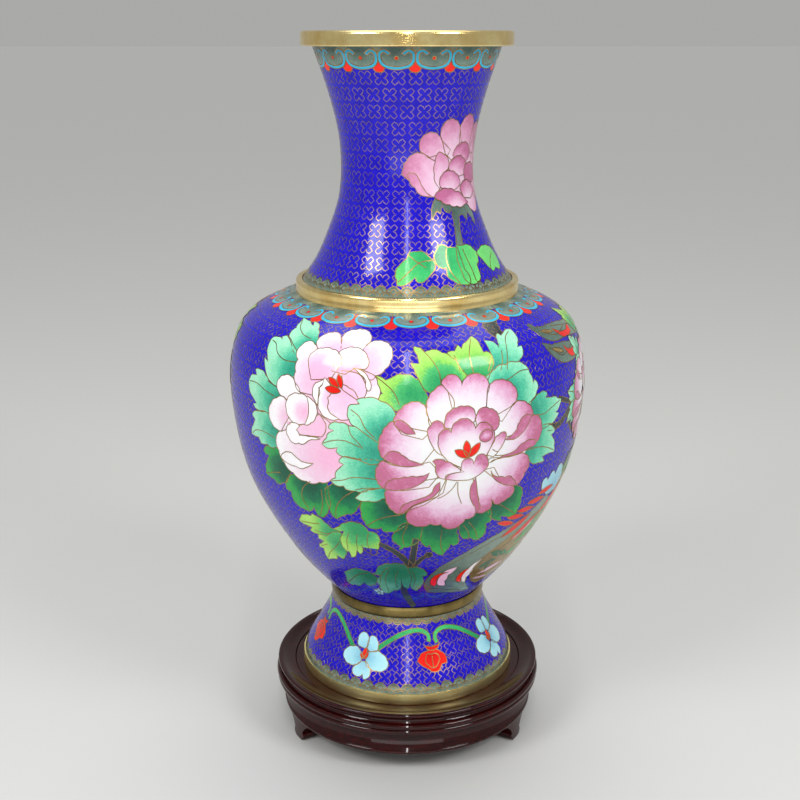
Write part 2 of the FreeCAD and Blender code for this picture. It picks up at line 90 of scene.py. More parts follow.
class Wall:
    """One section of the vase's outside: round is the radius that 'across' is measured at, and
    start is how far up the section its lowest enamel begins."""

    def __init__(self, nodes, round_radius, start):
        levels = {}
        for name in nodes:
            mesh = NODES[name].data
            for face in mesh.polygons:
                middle = face.center
                outward = face.normal.x * middle.x + face.normal.y * middle.y
                if outward > 0.2 * math.hypot(middle.x, middle.y):
                    for index in face.vertices:
                        spot = mesh.vertices[index].co
                        levels[round(spot.z, 6)] = math.hypot(spot.x, spot.y)
        line = []
        for height in sorted(levels):
            if not line or height - line[-1][0] > MARK_GAP * MM:
                line.append((height, levels[height]))
        top = max(levels)
        if line[-1][0] < top:
            line[-1] = (top, levels[top])
        self.round = round_radius
        self.start = start
        self.marks = []
        along = start
        for low, high in zip(line, line[1:]):
            self.marks.append((along, low[0] / MM, low[1] / MM))
            along += math.dist(low, high) / MM
        self.marks.append((along, line[-1][0] / MM, line[-1][1] / MM))
        self.end = along

    def line(self, up):
        """Height and radius at a distance up the wall, on a smooth curve through the marks."""
        marks = self.marks
        low, high = 0, len(marks) - 1
        while high - low > 1:
            index = (low + high) // 2
            if marks[index][0] <= up:
                low = index
            else:
                high = index
        before, after = marks[max(low - 1, 0)], marks[min(low + 2, len(marks) - 1)]
        a, b = marks[low], marks[low + 1]
        span = b[0] - a[0]
        t = (up - a[0]) / span
        spot = []
        for axis in (1, 2):
            slope_a = (b[axis] - before[axis]) / (b[0] - before[0])
            slope_b = (after[axis] - a[axis]) / (after[0] - a[0])
            spot.append((2 * t**3 - 3 * t**2 + 1) * a[axis] + (t**3 - 2 * t**2 + t) * span * slope_a
                        + (3 * t**2 - 2 * t**3) * b[axis] + (t**3 - t**2) * span * slope_b)
        return spot

    def facing(self, up):
        """The wall's outward direction as (radial, upward)."""
        low, high = self.line(max(up - 0.5, self.start)), self.line(min(up + 0.5, self.end))
        rise, spread = high[0] - low[0], high[1] - low[1]
        length = math.hypot(rise, spread)
        return rise / length, -spread / length

    def place(self, across, up, stand):
        """The spot on the wall, standing off it by some depth, and the way out of it there."""
        up = min(max(up, self.start), self.end)
        height, radius = self.line(up)
        out, rise = self.facing(up)
        turn = across / self.round
        radius += stand * out
        spot = Vector((radius * math.sin(turn), -radius * math.cos(turn), height + stand * rise))
        way = Vector((out * math.sin(turn), -out * math.cos(turn), rise))
        return spot * MM, way


NECK = Wall(("neck_scale_enamel", "neck_ground_enamel", "neck_cloud_enamel"), round_radius=45.0, start=4.0)
BODY = Wall(("body_ground_enamel", "body_cloud_enamel"), round_radius=104.7, start=0.0)
FOOT = Wall(("foot_lower_scale_enamel", "foot_ground_enamel", "foot_upper_scale_enamel"),
            round_radius=58.0, start=5.8)


# ---------------------------------------------------------------- bent wire outlines

def arc(start, end, bulge):
    """Points from start up to, not including, end along an arc; bulge is its rise over half the chord,
    to the right of the way it runs."""
    run = Vector(end) - Vector(start)
    chord = run.length
    if abs(bulge) < 0.02:
        steps = max(1, round(chord / 3.0))
        return [tuple(Vector(start) + run * (k / steps)) for k in range(steps)]
    half = 2 * math.atan(abs(bulge))
    radius = chord / 2 / math.sin(half)
    steps = max(2, min(9, round(2 * half * abs(radius) / 1.3)))
    side = Vector((run.y, -run.x)).normalized() * (1 if bulge > 0 else -1)
    middle = (Vector(start) + Vector(end)) / 2 - side * radius * math.cos(half)
    points = []
    for k in range(steps):
        turn = half * (2 * k / steps - 1)
        points.append(tuple(middle + side * radius * math.cos(turn)
                            + run.normalized() * radius * math.sin(turn)))
    return points


def bent(points, bulge=0.22):
    """A closed outline of arcs. A point is (across, up) or (across, up, bulge of the arc that follows)."""
    area = sum(a[0] * b[1] - b[0] * a[1] for a, b in zip(points, points[1:] + points[:1]))
    turned = 1 if area > 0 else -1
    outline = []
    for here, after in zip(points, points[1:] + points[:1]):
        rise = here[2] if len(here) > 2 else bulge
        outline += arc(here[:2], after[:2], rise * turned)
    return outline if area > 0 else outline[::-1]


def smooth(points, step=1.5):
    """A flowing open line through the points."""
    flow = []
    ends = [points[0]] + list(points) + [points[-1]]
    for a, b, c, d in zip(ends, ends[1:], ends[2:], ends[3:]):
        steps = max(2, round(math.dist(b, c) / step))
        for k in range(steps):
            t = k / steps
            flow.append(tuple(0.5 * (2 * b[i] + (c[i] - a[i]) * t
                                     + (2 * a[i] - 5 * b[i] + 4 * c[i] - d[i]) * t**2
                                     + (3 * b[i] - a[i] - 3 * c[i] + d[i]) * t**3) for i in (0, 1)))
    return flow + [tuple(points[-1])]


def strip(points, width, end_width=None):
    """The closed outline of a flowing line of some width, which may change along it."""
    line = smooth(points)
    end_width = width if end_width is None else end_width
    left, right = [], []
    for k, spot in enumerate(line):
        ahead, behind = line[min(k + 1, len(line) - 1)], line[max(k - 1, 0)]
        way = (Vector(ahead) - Vector(behind)).normalized()
        half = (width + (end_width - width) * k / (len(line) - 1)) / 2
        right.append((spot[0] + way.y * half, spot[1] - way.x * half))
        left.append((spot[0] - way.y * half, spot[1] + way.x * half))
    return right + left[::-1]


def lens(start, end, bulge=0.4):
    """A pointed oval between two spots."""
    return bent([(*start, bulge), (*end, bulge)])


# ---------------------------------------------------------------- enamels, metal and wood

def colour(red, green, blue):
    """Linear colour from the 0 to 255 values of a colour chart."""
    chart = [c / 255 for c in (red, green, blue)]
    return tuple(c / 12.92 if c <= 0.04045 else ((c + 0.055) / 1.055) ** 2.4 for c in chart) + (1.0,)


def new_material(name):
    """A material with its node tree and its shader."""
    material = bpy.data.materials.new(name)
    material.use_nodes = True
    tree = material.node_tree
    shader = tree.nodes["Principled BSDF"]
    return material, tree, shader


def add(tree, kind, **settings):
    """A node with its settings and the values of its sockets."""
    node = tree.nodes.new(kind)
    for key, setting in settings.items():
        if key in node.bl_rna.properties:
            setattr(node, key, setting)
        else:
            node.inputs[key.replace("_", " ")].default_value = setting
    return node


def ramp(tree, stops):
    """A run of colours, each at its place from 0 to 1."""
    node = tree.nodes.new("ShaderNodeValToRGB")
    line = node.color_ramp
    line.elements[0].position, line.elements[0].color = stops[0]
    line.elements[1].position, line.elements[1].color = stops[-1]
    for place, tint in stops[1:-1]:
        line.elements.new(place).color = tint
    return node


def grain(tree, scale, detail=2.0, roughness=0.6):
    """Noise in the piece's own space, scale in grains per millimetre."""
    where = tree.nodes.new("ShaderNodeTexCoord")
    noise = add(tree, "ShaderNodeTexNoise", Scale=scale / MM, Detail=detail, Roughness=roughness)
    tree.links.new(where.outputs["Object"], noise.inputs["Vector"])
    return noise


def spread(tree, value, low, high):
    """A 0 to 1 value spread from low to high."""
    node = add(tree, "ShaderNodeMapRange")
    tree.links.new(value, node.inputs["Value"])
    node.inputs["To Min"].default_value = low
    node.inputs["To Max"].default_value = high
    return node.outputs["Result"]


def dimpled(tree, shader, height, distance, strength=0.5):
    """Small unevenness in the surface's gloss."""
    bump = add(tree, "ShaderNodeBump", Strength=strength, Distance=distance)
    tree.links.new(height, bump.inputs["Height"])
    tree.links.new(bump.outputs["Normal"], shader.inputs["Normal"])


def enamel(name, stops, speckle=0.5, patch=0.25):
    """Ground glass packed into a cell: its colour runs from the root of the cell to its tip, with
    the patches where one mix meets the next and the grain of the frit."""
    material, tree, shader = new_material(name)
    link = tree.links.new
    tone = add(tree, "ShaderNodeAttribute", attribute_name="tone")
    patches = grain(tree, 0.22, 3.0)
    fine = grain(tree, 1.1, 3.0, 0.75)
    drift = add(tree, "ShaderNodeMath", operation="MULTIPLY_ADD")
    link(patches.outputs["Fac"], drift.inputs[0])
    drift.inputs[1].default_value = patch * 2
    drift.inputs[2].default_value = -patch
    frit = add(tree, "ShaderNodeMath", operation="MULTIPLY_ADD")
    link(fine.outputs["Fac"], frit.inputs[0])
    frit.inputs[1].default_value = 0.5
    frit.inputs[2].default_value = -0.25
    first = add(tree, "ShaderNodeMath", operation="ADD")
    link(tone.outputs["Fac"], first.inputs[0])
    link(drift.outputs[0], first.inputs[1])
    second = add(tree, "ShaderNodeMath", operation="ADD")
    link(first.outputs[0], second.inputs[0])
    link(frit.outputs[0], second.inputs[1])
    mixes = ramp(tree, stops)
    link(second.outputs[0], mixes.inputs["Fac"])
    shade = add(tree, "ShaderNodeHueSaturation")
    link(mixes.outputs["Color"], shade.inputs["Color"])
    link(spread(tree, fine.outputs["Fac"], 1.0 - 0.45 * speckle, 1.0 + 0.45 * speckle), shade.inputs["Value"])
    link(shade.outputs["Color"], shader.inputs["Base Color"])
    link(spread(tree, fine.outputs["Fac"], 0.05, 0.17), shader.inputs["Roughness"])
    shader.inputs["IOR"].default_value = 1.36
    pits = grain(tree, 0.6, 4.0, 0.6)
    dimpled(tree, shader, pits.outputs["Fac"], 0.00006)
    return material


def metal(name, light, dark, rough, grain_scale=0.12, worn=0.08):
    """Metal with cloudy tarnish between its light and dark tints, and fine polishing scratches."""
    material, tree, shader = new_material(name)
    link = tree.links.new
    cloudy = grain(tree, grain_scale, 5.0, 0.65)
    tarnish = ramp(tree, [(0.3, colour(*dark)), (0.62, colour(*light))])
    link(cloudy.outputs["Fac"], tarnish.inputs["Fac"])
    link(tarnish.outputs["Color"], shader.inputs["Base Color"])
    shader.inputs["Metallic"].default_value = 1.0
    scratches = grain(tree, 1.6, 4.0, 0.7)
    link(spread(tree, scratches.outputs["Fac"], rough - worn, rough + worn), shader.inputs["Roughness"])
    dimpled(tree, shader, scratches.outputs["Fac"], 0.00002, 0.3)
    return material


def rosewood():
    """Near black wood with dark red streaks along the boards, under a thin clear polish."""
    material, tree, shader = new_material("polished_rosewood")
    link = tree.links.new
    where = tree.nodes.new("ShaderNodeTexCoord")
    lie = add(tree, "ShaderNodeMapping")
    lie.inputs["Scale"].default_value = (18.0, 160.0, 160.0)
    link(where.outputs["Object"], lie.inputs["Vector"])
    streaks = add(tree, "ShaderNodeTexNoise", Scale=4.0, Detail=6.0, Roughness=0.62, Distortion=0.6)
    link(lie.outputs["Vector"], streaks.inputs["Vector"])
    wood = ramp(tree, [(0.28, colour(20, 2, 2)), (0.55, colour(44, 4, 4)), (0.80, colour(72, 8, 6))])
    link(streaks.outputs["Fac"], wood.inputs["Fac"])
    link(wood.outputs["Color"], shader.inputs["Base Color"])
    handled = grain(tree, 0.05, 4.0)
    link(spread(tree, handled.outputs["Fac"], 0.10, 0.24), shader.inputs["Roughness"])
    shader.inputs["IOR"].default_value = 1.15
    shader.inputs["Coat Weight"].default_value = 0.6
    shader.inputs["Coat Roughness"].default_value = 0.03
    shader.inputs["Coat IOR"].default_value = 1.45
    dimpled(tree, shader, streaks.outputs["Fac"], 0.00004, 0.25)
    return material


WHITE_PETAL = enamel("white_petal_enamel", [(0.0, colour(236, 178, 210)), (0.5, colour(236, 202, 224)),
                                            (0.8, colour(240, 228, 236)), (1.0, colour(242, 240, 243))],
                     speckle=0.18, patch=0.25)
ROSE_PETAL = enamel("rose_petal_enamel", [(0.0, colour(230, 231, 232)), (0.4, colour(228, 212, 226)),
                                          (0.7, colour(216, 166, 198)), (0.88, colour(200, 126, 162)),
                                          (1.0, colour(184, 102, 136))],
                    speckle=0.25, patch=0.24)
NECK_PETAL = enamel("neck_petal_enamel", [(0.0, colour(228, 204, 220)), (0.35, colour(224, 180, 206)),
                                          (0.7, colour(206, 138, 174)), (1.0, colour(180, 100, 140))],
                    speckle=0.28, patch=0.26)
MINT_LEAF = enamel("mint_leaf_enamel", [(0.0, colour(42, 146, 122)), (0.4, colour(78, 184, 150)),
                                        (0.65, colour(120, 208, 170)), (1.0, colour(160, 226, 192))],
                   speckle=0.4, patch=0.26)
LIME_LEAF = enamel("lime_leaf_enamel", [(0.0, colour(46, 152, 94)), (0.42, colour(82, 184, 108)),
                                        (0.62, colour(140, 206, 92)), (1.0, colour(172, 224, 110))],
                   speckle=0.4, patch=0.24)
DARK_LEAF = enamel("dark_leaf_enamel", [(0.0, colour(12, 82, 60)), (0.45, colour(18, 110, 74)),
                                        (0.7, colour(34, 144, 74)), (1.0, colour(54, 164, 78))],
                   speckle=0.5, patch=0.3)
AQUA_LEAF = enamel("aqua_leaf_enamel", [(0.0, colour(34, 108, 84)), (0.5, colour(50, 130, 104)),
                                        (1.0, colour(80, 150, 124))],
                   speckle=0.35, patch=0.25)
NECK_LEAF = enamel("neck_leaf_enamel", [(0.0, colour(34, 146, 88)), (0.5, colour(62, 184, 108)),
                                        (1.0, colour(112, 210, 112))],
                   speckle=0.35, patch=0.3)
STEM_GREY = enamel("stem_grey_enamel", [(0.0, colour(28, 38, 42)), (0.5, colour(48, 58, 62)),
                                        (1.0, colour(72, 84, 84))],
                   speckle=0.5, patch=0.35)
GREY_GREEN = enamel("grey_green_enamel", [(0.0, colour(70, 92, 86)), (0.5, colour(100, 122, 112)),
                                          (1.0, colour(128, 146, 134))],
                    speckle=0.6, patch=0.35)
RED = enamel("red_enamel", [(0.0, colour(206, 18, 14)), (1.0, colour(246, 40, 28))],
             speckle=0.25, patch=0.3)
TURQUOISE = enamel("turquoise_enamel", [(0.0, colour(30, 150, 190)), (1.0, colour(56, 184, 216))],
                   speckle=0.3, patch=0.3)
SKY = enamel("sky_flower_enamel", [(0.0, colour(120, 180, 205)), (0.5, colour(160, 215, 228)),
                                   (1.0, colour(176, 226, 236))],
             speckle=0.2, patch=0.2)
TAN = enamel("tan_feather_enamel", [(0.0, colour(112, 92, 58)), (0.5, colour(156, 138, 88)),
                                    (1.0, colour(176, 160, 104))],
             speckle=0.5, patch=0.4)
COBALT = enamel("cobalt_ground_enamel", [(0.0, colour(14, 6, 146)), (0.5, colour(24, 13, 182)),
                                         (1.0, colour(40, 28, 208))],
                speckle=0.5, patch=0.5)
LINING = enamel("lining_enamel", [(0.0, colour(30, 92, 140)), (1.0, colour(60, 132, 170))],
                speckle=0.5, patch=0.4)
WIRE_BRASS = metal("gilt_wire", light=(176, 146, 92), dark=(112, 84, 50), rough=0.3)
BRASS = metal("polished_brass", light=(255, 234, 168), dark=(226, 190, 112), rough=0.2, grain_scale=0.05,
              worn=0.06)
# The foot ring's brass is painted lighter than the rest of the brass: painted light on its face, which mostly
# reflects the dark board below.
LIT_FOOT_BRASS = metal("foot_brass_painted_light", light=(255, 244, 180), dark=(246, 218, 140), rough=0.36, grain_scale=0.06,
                   worn=0.06)
# The waist ring's brass is painted darker than the rest of the brass: painted shade for the dark room that it
# reflects. Its satin roughness is real.
SHADED_SATIN_BRASS = metal("satin_brass_painted_shade", light=(140, 122, 74), dark=(76, 62, 34), rough=0.26, grain_scale=0.05,
                    worn=0.07)
COPPER = metal("spun_copper", light=(190, 110, 80), dark=(120, 62, 40), rough=0.35)
ROSEWOOD = rosewood()


# ---------------------------------------------------------------- cells and wires

def flat_face(outline, stand, number):
    """A flat curve filled and made a mesh, standing a little over the ground."""
    curve = bpy.data.curves.new("cell", "CURVE")
    curve.dimensions = "2D"
    curve.fill_mode = "BOTH"
    ring = curve.splines.new("POLY")
    ring.points.add(len(outline) - 1)
    for point, (across, up) in zip(ring.points, outline):
        point.co = (across, up, 0.0, 1.0)
    ring.use_cyclic_u = True
    face = bpy.data.objects.new("cell", curve)
    bpy.context.scene.collection.objects.link(face)
    face["stand"], face["number"] = stand, number
    return face


def to_mesh(faces, finishes):
    """Make the flat curves meshes, each with its finish, its height and its cell's number."""
    only(*faces)
    bpy.ops.object.convert(target="MESH")
    for face, finish in zip(faces, finishes):
        mesh = face.data
        mesh.materials.clear()
        mesh.materials.append(finish)
        mesh.attributes.new("number", "INT",
                            "FACE").data.foreach_set("value", [face["number"]] * len(mesh.polygons))
        for vertex in mesh.vertices:
            vertex.co.z = face["stand"]
        if mesh.polygons and mesh.polygons[0].normal.z < 0:
            mesh.flip_normals()


def bisect_all(piece, step_across, step_up):
    """Cut along a grid, so that the faces can follow the round of the wall."""
    only(piece)
    xs = [v.co.x for v in piece.data.vertices]
    ys = [v.co.y for v in piece.data.vertices]
    bpy.ops.object.mode_set(mode="EDIT")
    for low, high, step, way in ((min(xs), max(xs), step_across, (1, 0, 0)),
                                 (min(ys), max(ys), step_up, (0, 1, 0))):
        k = math.ceil(low / step)
        while k * step < high:
            spot = tuple(k * step * part for part in way)
            bpy.ops.mesh.select_all(action="SELECT")
            bpy.ops.mesh.bisect(plane_co=spot, plane_no=way)
            k += 1
    bpy.ops.object.mode_set(mode="OBJECT")


def lay_on(piece, wall, tones=None):
    """Wrap the flat piece onto the wall."""
    mesh = piece.data
    ways = []
    if tones:
        shades = [0.0] * len(mesh.vertices)
        for face, cell in zip(mesh.polygons, mesh.attributes["number"].data):
            root, near, far = tones[cell.value]
            for index in face.vertices:
                away = math.dist(root, mesh.vertices[index].co[:2])
                shades[index] = min(max((away - near) / (far - near), 0.0), 1.0)
        mesh.attributes.new("tone", "FLOAT", "POINT").data.foreach_set("value", shades)
    if "number" in mesh.attributes:
        mesh.attributes.remove(mesh.attributes["number"])
    for vertex in mesh.vertices:
        spot, way = wall.place(vertex.co.x, vertex.co.y, vertex.co.z)
        vertex.co = spot
        ways.append(way)
    mesh.polygons.foreach_set("use_smooth", [True] * len(mesh.polygons))
    mesh.update()
    mesh.normals_split_custom_set_from_vertices(ways)


def bent_wires(name, paths, width=WIRE_WIDE, tall=WIRE_TALL):
    """Flat strip stood on edge along each line. Paths are (points, closed, stand of its top)."""
    section = bpy.data.objects.new("wire_section", bpy.data.curves.new("wire_section", "CURVE"))
    section.data.dimensions = "2D"
    shape = [(-width / 2, -tall), (-width / 2, 0.0), (width / 2, 0.0), (width / 2, -tall)]
    edge = section.data.splines.new("POLY")
    edge.points.add(len(shape) - 1)
    for point, (across, up) in zip(edge.points, shape):
        point.co = (across, up, 0.0, 1.0)
    bpy.context.scene.collection.objects.link(section)
    lines = bpy.data.curves.new(name, "CURVE")
    lines.dimensions = "3D"
    lines.twist_mode = "Z_UP"
    lines.bevel_mode = "OBJECT"
    lines.bevel_object = section
    for points, closed, stand in paths:
        run = lines.splines.new("POLY")
        run.points.add(len(points) - 1)
        for point, (across, up) in zip(run.points, points):
            point.co = (across, up, stand, 1.0)
        run.use_cyclic_u = closed
    wires = bpy.data.objects.new(name, lines)
    bpy.context.scene.collection.objects.link(wires)
    only(wires)
    bpy.ops.object.convert(target="MESH")
    bpy.data.objects.remove(section)
    if sum(face.normal.z for face in wires.data.polygons) < 0:
        wires.data.flip_normals()
    wires.data.materials.clear()
    wires.data.materials.append(WIRE_BRASS)
    return wires


def set_wires(name, wall, paths, times=1, **form):
    """Wires bent flat, laid on the wall and repeated round it."""
    wires = bent_wires(name, paths, **form)
    lay_on(wires, wall)
    wires = ring_of(wires, times)
    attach(wires, "vase")


def ring_of(piece, count):
    """The piece and its copies, set evenly round the axis."""
    copies = [piece]
    for k in range(1, count):
        copy = piece.copy()
        copy.data = piece.data.copy()
        bpy.context.scene.collection.objects.link(copy)
        copy.data.transform(Matrix.Rotation(2 * math.pi * k / count, 4, "Z"))
        copies.append(copy)
    return joined(copies, piece.name)


def motif(name, wall, cells, veins=(), times=1, cut=3.0, stand_in=(), beds=()):
    """A picture of enamel cells in their wires, laid on the wall and repeated round it.

    A cell is (outline, finish, layer, root, near, far): its colour runs from near to far from its
    root. A vein is (line, layer). Beds are cells with no wire of their own.
    """
    faces = [flat_face(cell[0], LAYER_STEP * cell[2] - GROUND_DEPTH, k) for k, cell in enumerate(cells)]
    to_mesh(faces, [cell[1] for cell in cells])
    glass = joined(faces, name)
    bisect_all(glass, cut, cut)
    lay_on(glass, wall, [cell[3:6] for cell in cells])
    paths = [(cell[0], True, LAYER_STEP * cell[2] - GROUND_DEPTH
              + WIRE_STAND) for cell in cells if cell not in beds]
    paths += [(line, False, LAYER_STEP * layer - GROUND_DEPTH + WIRE_STAND) for line, layer in veins]
    set_wires(name + "_wires", wall, paths, times)
    glass = ring_of(glass, times)
    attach(glass, "vase")
    if stand_in:
        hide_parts(*stand_in)


def shifted(cells, across, up=0.0, size=1.0, flip=False, lift=0.0):
    """The same cells drawn somewhere else, larger or smaller, or the other way round."""
    turn = -1 if flip else 1
    spots = []
    for outline, finish, layer, root, near, far in cells:
        outline = [(across + turn * size * x, up + size * y) for x, y in outline]
        root = (across + turn * size * root[0], up + size * root[1])
        spots.append((outline[::-1] if flip else outline, finish, layer + lift, root, near * size,
                      far * size))
    return spots


def shifted_veins(veins, across, up=0.0, size=1.0, flip=False, lift=0.0):
    """The same veins drawn somewhere else."""
    turn = -1 if flip else 1
    return [([(across + turn * size * x, up + size * y) for x, y in line], layer + lift) for line,
            layer in veins]


def covered(spot, outlines):
    """Whether a spot lies inside any of the outlines."""
    x, y = spot
    for outline in outlines:
        within = False
        for (x1, y1), (x2, y2) in zip(outline, outline[1:] + outline[:1]):
            if (y1 > y) != (y2 > y) and x < x1 + (y - y1) * (x2 - x1) / (y2 - y1):
                within = not within
        if within:
            return True
    return False


def cloud(across, up, squeeze):
    """One wire cloud: four lobes with bays between, about 8 mm across."""
    line = []
    for quarter in range(4):
        turn = math.radians(45 + 90 * quarter)
        for swing, away in ((-32, 2.85), (-15, 4.3), (15, 4.3), (32, 2.85), (45, 1.5)):
            way = turn + math.radians(swing)
            line.append((across + away * math.cos(way) * squeeze, up + away * math.sin(way)))
    return line


def cloud_field(name, wall, low, high, pitch, outlines, first=0):
    """Staggered rows of wire clouds from low to high, left out where the outlines cover them."""
    paths = []
    rows = int((high - low) / pitch)
    for row in range(rows + 1):
        up = low + CLOUD_HALF + (high - low - 2 * CLOUD_HALF) * row / max(rows, 1)
        around = wall.line(up)[1]
        squeeze = wall.round / around
        count = round(2 * math.pi * around / (pitch * 0.97))
        step = 2 * math.pi * wall.round / count
        near = [outline for outline in outlines
                if min(y for _, y in outline) < up + 5 and max(y for _, y in outline) > up - 5]
        for k in range(count):
            across = (k + 0.5 * ((row + first) % 2)) * step - math.pi * wall.round
            folded = [(across, up)] + [(across + 3.5 * a * squeeze, up
                                        + 3.5 * b) for a in (-1, 1) for b in (-1, 1)]
            if not all(covered(spot, near) for spot in folded):
                paths.append((cloud(across, up, squeeze), True, 2 * WIRE_STAND - GROUND_DEPTH))
    set_wires(name, wall, paths, width=CLOUD_WIRE_WIDE, tall=CLOUD_WIRE_TALL)


def ground(name, wall, node):
    """The blue ground as a turned shell: the wall's line spun round the axis."""
    count = max(6, round((wall.end - wall.start) / GROUND_RING))
    bpy.ops.object.select_all(action="DESELECT")
    bpy.ops.mesh.primitive_plane_add(size=1)
    shell = bpy.context.active_object
    mesh = shell.data
    mesh.clear_geometry()
    spots = []
    for k in range(count + 1):
        spot, _ = wall.place(0.0, wall.start + (wall.end - wall.start) * k / count, -GROUND_DEPTH)
        spots.append(spot)
    mesh.from_pydata(spots, [(k, k + 1) for k in range(count)], [])
    bpy.ops.object.mode_set(mode="EDIT")
    bpy.ops.mesh.select_all(action="SELECT")
    bpy.ops.mesh.spin(steps=GROUND_STEPS, angle=2 * math.pi, center=(0, 0, 0), axis=(0, 0, 1))
    bpy.ops.mesh.select_all(action="SELECT")
    bpy.ops.mesh.remove_doubles(threshold=SEAM)
    bpy.ops.mesh.normals_make_consistent(inside=False)
    bpy.ops.object.mode_set(mode="OBJECT")
    mesh = shell.data
    if mesh.polygons[0].normal.dot(Vector((mesh.polygons[0].center.x, mesh.polygons[0].center.y, 0))) < 0:
        mesh.flip_normals()
    thickness = shell.modifiers.new("glass", "SOLIDIFY")
    thickness.thickness = GROUND_THICK * MM
    thickness.offset = -1.0
    only(shell)
    bpy.ops.object.modifier_apply(modifier=thickness.name)
    mesh.materials.clear()
    mesh.materials.append(COBALT)
    mesh.attributes.new("tone", "FLOAT", "POINT").data.foreach_set("value", [0.5] * len(mesh.vertices))
    bpy.ops.object.shade_smooth_by_angle(angle=math.radians(40))
    shell.name = mesh.name = name
    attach(shell, "vase")
    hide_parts(node)


ground("neck_blue_ground", NECK, "neck_ground_enamel")
ground("body_blue_ground", BODY, "body_ground_enamel")
ground("foot_blue_ground", FOOT, "foot_ground_enamel")


# ---------------------------------------------------------------- the flowers and leaves

def petals(finish, layer, root, near, far, *outlines, bulge=0.29):
    """Scalloped cells that share a finish, a layer and the way that their colour runs."""
    return [(bent(outline, bulge), finish, layer, root, near, far) for outline in outlines]


def lenses(finish, layer, root, reach, *pairs, bulge=0.42):
    """Pointed ovals, each between a pair of spots."""
    return [(lens(start, end, bulge), finish, layer, root, 0.0, reach) for start, end in pairs]


def vein(layer, *points):
    """A flowing wire across a cell."""
    return smooth(points, 2.0), layer


